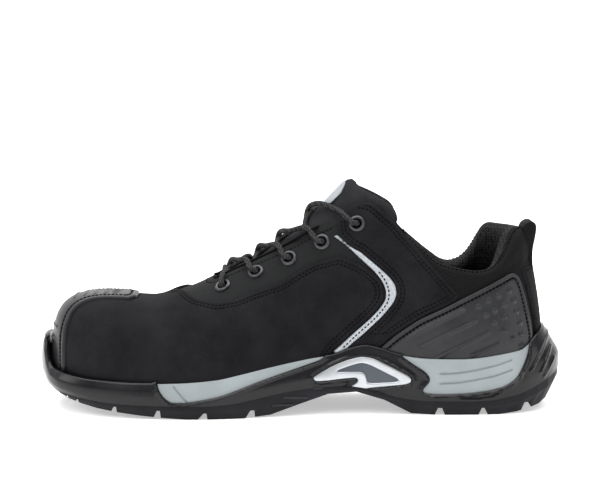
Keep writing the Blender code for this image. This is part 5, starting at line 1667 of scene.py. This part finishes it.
def stitch_places(row, pitch):
    """The middle, the way along and the way up of each stitch on a row."""
    done, target = 0.0, pitch / 2
    for (here, up), (there, next_up) in zip(row, row[1:]):
        step = (there - here).length
        if step < 0.001 * MM:
            continue
        while target <= done + step:
            t = (target - done) / step
            yield here.lerp(there, t), (there - here) / step, up.lerp(next_up, t).normalized()
            target += pitch
        done += step


def make_stitches():
    """One small rounded stitch, copied along every row of stitching."""
    sizes = settings()
    half, thick = sizes.stitch_length / 2, sizes.thread
    for kind, rows in seams.items():
        points, faces = [], []
        for centre, along, up in (place for row in rows for place in stitch_places(row, sizes.stitch_pitch)):
            across = along.cross(up).normalized()
            base = len(points)
            for at, share, lift in STITCH_RINGS:
                for k in range(STITCH_SIDES):
                    angle = 2 * math.pi * k / STITCH_SIDES
                    aside = across * (math.cos(angle) * thick * share)
                    upward = up * (math.sin(angle) * thick * share + lift * thick)
                    points.append(centre + along * (half * at) + aside + upward)
            for ring in range(len(STITCH_RINGS) - 1):
                start = base + ring * STITCH_SIDES
                for k in range(STITCH_SIDES):
                    a, b = start + k, start + (k + 1) % STITCH_SIDES
                    faces.append((a, b, b + STITCH_SIDES, a + STITCH_SIDES))
            faces.append(tuple(range(base + STITCH_SIDES - 1, base - 1, -1)))
            faces.append(tuple(range(len(points) - STITCH_SIDES, len(points))))
        mesh = bpy.data.meshes.new("stitches_" + kind)
        mesh.from_pydata([point[:] for point in points], [], faces)
        mesh.validate()
        stitches = linked("stitches_" + kind, mesh)
        make_active(stitches)
        close_faces()
        finish_piece(stitches, materials["thread"], (), sharp=80)


def dress_kept_solids():
    """The outsole and the insole keep their solids and get their finish."""
    for name, material in (("outsole", "tread"), ("insole", "insole")):
        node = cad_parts[name]
        node.data.materials.clear()
        node.data.materials.append(materials[material])


# The studio's paper: its width, where it starts and ends, the bend behind it and the wall above that
PAPER_WIDTH = 12.0
PAPER_NEAR = -4.0
PAPER_FAR = 1.6
PAPER_BEND = 1.2
WALL_HEIGHT = 4.0
PAPER_GLOW = 0.45
WORLD_LIGHT = 0.35
# Each light: name, place, what it points at, its size and its power in watts
LIGHTS = (
    ("top_light", (0.0, 0.15, 1.7), (0.0, 0.05, 0.0), (2.6, 1.8), 62.0),
    ("key_light", (-0.7, -1.1, 1.1), (0.0, 0.0, 0.05), (0.8, 0.8), 9.0),
    ("heel_light", (1.3, -0.7, 0.5), (0.06, 0.0, 0.05), (0.5, 0.9), 4.0),
    ("toe_light", (-1.4, -0.1, 0.7), (-0.08, 0.0, 0.05), (0.6, 0.8), 5.0),
)
# The camera, at the photograph's angle: what it points at, from how far and how steeply, and its lens
CAMERA_TARGET = (0.0, 0.0, 60.5 * MM)
CAMERA_DISTANCE = 1.0
CAMERA_TILT = 8.0
CAMERA_LENS = 103.8
CAMERA_SENSOR = 36.0
CAMERA_SHIFT = 0.0983


def make_floor():
    """A pale paper floor that curves up into a wall behind."""
    deselect()
    bpy.ops.mesh.primitive_grid_add(x_subdivisions=2, y_subdivisions=48, size=1)
    floor = bpy.context.object
    floor.name = "studio_floor"
    flat = PAPER_FAR - PAPER_NEAR
    bend = PAPER_BEND * math.pi / 2
    for vert in floor.data.vertices:
        x = vert.co.x * PAPER_WIDTH
        along = (vert.co.y + 0.5) * (flat + bend + WALL_HEIGHT)
        angle = min(max((along - flat) / PAPER_BEND, 0.0), math.pi / 2)
        y = PAPER_NEAR + min(along, flat) + PAPER_BEND * math.sin(angle)
        vert.co = (x, y, PAPER_BEND * (1 - math.cos(angle)) + max(along - flat - bend, 0.0))
    make_active(floor)
    bpy.ops.object.shade_smooth()
    paper = Finish("studio_paper", (1.0, 1.0, 1.0), 0.9, 0.1)
    paper.wire(paper.shader, {"Emission Color": (1.0, 1.0, 1.0, 1.0), "Emission Strength": PAPER_GLOW})
    paper.tint(paper.noise(3.0), 0.88, 0.91, 0.35, 0.65)
    floor.data.materials.append(paper.material)


def make_studio():
    """The floor, soft lights, and the camera at the photograph's angle."""
    make_floor()
    world = bpy.data.worlds.new("studio")
    world.use_nodes = True
    world.node_tree.nodes["Background"].inputs["Color"].default_value = (1.0, 1.0, 1.0, 1.0)
    world.node_tree.nodes["Background"].inputs["Strength"].default_value = WORLD_LIGHT
    bpy.context.scene.world = world
    for name, place, aim, size, power in LIGHTS:
        light = bpy.data.lights.new(name, "AREA")
        light.shape = "RECTANGLE"
        light.size, light.size_y = size
        light.energy = power
        lamp = bpy.data.objects.new(name, light)
        lamp.location = place
        lamp.rotation_euler = (Vector(aim) - Vector(place)).to_track_quat("-Z", "Y").to_euler()
        bpy.context.scene.collection.objects.link(lamp)
    camera = bpy.data.objects.new("camera", bpy.data.cameras.new("camera"))
    tilt = math.radians(CAMERA_TILT)
    away = Vector((0.0, -math.cos(tilt), math.sin(tilt)))
    camera.location = Vector(CAMERA_TARGET) + away * CAMERA_DISTANCE
    camera.rotation_euler = (math.pi / 2 - tilt, 0.0, 0.0)
    camera.data.sensor_width = CAMERA_SENSOR
    camera.data.lens = CAMERA_LENS
    camera.data.shift_y = CAMERA_SHIFT
    camera.data.clip_start = 0.01
    bpy.context.scene.collection.objects.link(camera)
    bpy.context.scene.camera = camera
    bpy.context.scene.view_settings.view_transform = "Standard"


def size(name, description, value):
    """A length that the panel can set."""
    return FloatProperty(name=name, description=description, default=value * MM, unit="LENGTH")


class SneakerSizes(bpy.types.PropertyGroup):
    """The real sizes of the details."""

    leather: size("Leather", "Leather panel's thickness", 1.4)
    counter: size("Heel panel", "Heel panel's thickness", 2.0)
    guard: size("Toe guard", "Toe guard's thickness", 2.9)
    rim: size("Window rim", "Height of the rim round the sole's windows", 0.9)
    stitch_pitch: size("Stitch pitch", "From one stitch to the next", 2.3)
    stitch_length: size("Stitch length", "Length of one stitch", 1.6)
    thread: size("Thread", "Thread's radius", 0.42)
    lace: size("Lace", "Lace's radius", 1.55)


def colour(name, description, value):
    """A colour that the panel can set."""
    return FloatVectorProperty(name=name, description=description, subtype="COLOR", default=value)


class SneakerColours(bpy.types.PropertyGroup):
    """The colours of the finishes."""

    leather: colour("Leather", "Brushed leather", (0.0082, 0.0082, 0.0093))
    cloth: colour("Cloth", "Eyelet and collar cloth", (0.0072, 0.0074, 0.0077))
    lining: colour("Lining", "Mesh lining", (0.0085, 0.0087, 0.0092))
    guard: colour("Mouldings", "Toe guard and heel panel", (0.0160, 0.0162, 0.0178))
    sole: colour("Sole", "Sole frame and tread", (0.0065, 0.0065, 0.0078))
    midsole: colour("Midsole", "Midsole foam", (0.250, 0.278, 0.287))
    silver: colour("Silver trim", "Edge of the arch insert", (0.46, 0.475, 0.495))
    plate: colour("Plate", "Middle of the arch insert", (0.050, 0.058, 0.072))
    tape: colour("Tape", "Crescent on the side", (0.43, 0.46, 0.49))
    metal: colour("Eyelets", "Eyelet metal", (0.060, 0.060, 0.065))
    # The lace's colour is set lighter than its own tone, partly to carry painted sheen on the braid.
    lace: colour("Lace", "Lace braid", (0.0190, 0.0190, 0.0200))
    # Near black, darker than the leather: partly the thread's own colour and partly painted shade of the
    # stitch holes. The throat's binding takes this colour too.
    thread: colour("Thread", "Stitching", (0.0028, 0.0028, 0.0030))


def make_skins():
    """The fine copies of the last and of the sole's side, from which the panels are cut."""
    skins["last"] = last_skin()
    skins["sole"] = sole_skin()
    bm = bmesh.new()
    bm.from_mesh(skins["last"].data)
    skins["tree"] = BVHTree.FromBMesh(bm)
    bm.free()


def remove_skins():
    """Removes the skins once every piece is cut."""
    for name in ("last", "sole"):
        bpy.data.objects.remove(skins[name])


class Step:
    """What every step of the panel does: it runs its functions in turn."""

    def execute(self, context):
        for make in self.makers:
            make()
        return {"FINISHED"}


class SNEAKER_OT_prepare(Step, bpy.types.Operator):
    """Makes the finishes and the fine copies of the last and of the sole's side"""

    bl_idname = "sneaker.prepare"
    bl_label = "Prepare the skins"
    makers = (make_materials, make_skins)


class SNEAKER_OT_upper(Step, bpy.types.Operator):
    """Makes the cloth upper, the tongue and the throat's rolled edge"""

    bl_idname = "sneaker.upper"
    bl_label = "Upper and tongue"
    makers = (make_upper, make_tongue, make_throat_binding)


class SNEAKER_OT_leather(Step, bpy.types.Operator):
    """Makes the leather vamp, the quarters with their crescents and the back strip"""

    bl_idname = "sneaker.leather"
    bl_label = "Leather panels"
    makers = (make_vamp, make_quarters, make_back_strip)


class SNEAKER_OT_mouldings(Step, bpy.types.Operator):
    """Makes the toe guard and the heel panels"""

    bl_idname = "sneaker.mouldings"
    bl_label = "Mouldings"
    makers = (make_toe_guard, make_counters)


class SNEAKER_OT_collar(Step, bpy.types.Operator):
    """Makes the padded collar and the pull tab"""

    bl_idname = "sneaker.collar"
    bl_label = "Collar and pull tab"
    makers = (make_collar, make_pull_tab)


class SNEAKER_OT_sole(Step, bpy.types.Operator):
    """Makes the sole's frame, foam sides and arch inserts, and finishes the tread and the insole"""

    bl_idname = "sneaker.sole"
    bl_label = "Sole"
    makers = (make_sole, make_flank_ribs, dress_kept_solids)


class SNEAKER_OT_fastening(Step, bpy.types.Operator):
    """Makes the eyelets and runs the lace through them"""

    bl_idname = "sneaker.fastening"
    bl_label = "Eyelets and lace"
    makers = (make_eyelets, make_laces)


class SNEAKER_OT_stitches(Step, bpy.types.Operator):
    """Sews the stitches along every row"""

    bl_idname = "sneaker.stitches"
    bl_label = "Stitches"
    makers = (make_stitches,)


class SNEAKER_OT_studio(Step, bpy.types.Operator):
    """Clears the skins away, and sets the floor, the lights and the camera"""

    bl_idname = "sneaker.studio"
    bl_label = "Studio"
    makers = (remove_skins, make_studio)


STEPS = (
    SNEAKER_OT_prepare, SNEAKER_OT_upper, SNEAKER_OT_leather, SNEAKER_OT_mouldings, SNEAKER_OT_collar,
    SNEAKER_OT_sole, SNEAKER_OT_fastening, SNEAKER_OT_stitches, SNEAKER_OT_studio,
)


class SNEAKER_PT_panel(bpy.types.Panel):
    """Lists the sneaker's steps, sizes and colours"""

    bl_label = "Safety sneaker"
    bl_idname = "SNEAKER_PT_panel"
    bl_space_type = "VIEW_3D"
    bl_region_type = "UI"
    bl_category = "Sneaker"

    def draw(self, context):
        for step in STEPS:
            self.layout.operator(step.bl_idname)
        for group in (context.scene.sneaker_sizes, context.scene.sneaker_colours):
            for name in group.__annotations__:
                self.layout.prop(group, name)


CLASSES = (SneakerSizes, SneakerColours, *STEPS, SNEAKER_PT_panel)


def register():
    """Registers the add-on's classes and its two sets of properties."""
    for cls in CLASSES:
        bpy.utils.register_class(cls)
    bpy.types.Scene.sneaker_sizes = PointerProperty(type=SneakerSizes)
    bpy.types.Scene.sneaker_colours = PointerProperty(type=SneakerColours)


def unregister():
    """Takes the add-on's classes and properties back out."""
    del bpy.types.Scene.sneaker_colours
    del bpy.types.Scene.sneaker_sizes
    for cls in reversed(CLASSES):
        bpy.utils.unregister_class(cls)


def main():
    """Builds the shoe and the stage, one step after the other."""
    register()
    for step in STEPS:
        getattr(bpy.ops.sneaker, step.bl_idname.split(".")[1])()


if __name__ == "__main__":
    main()
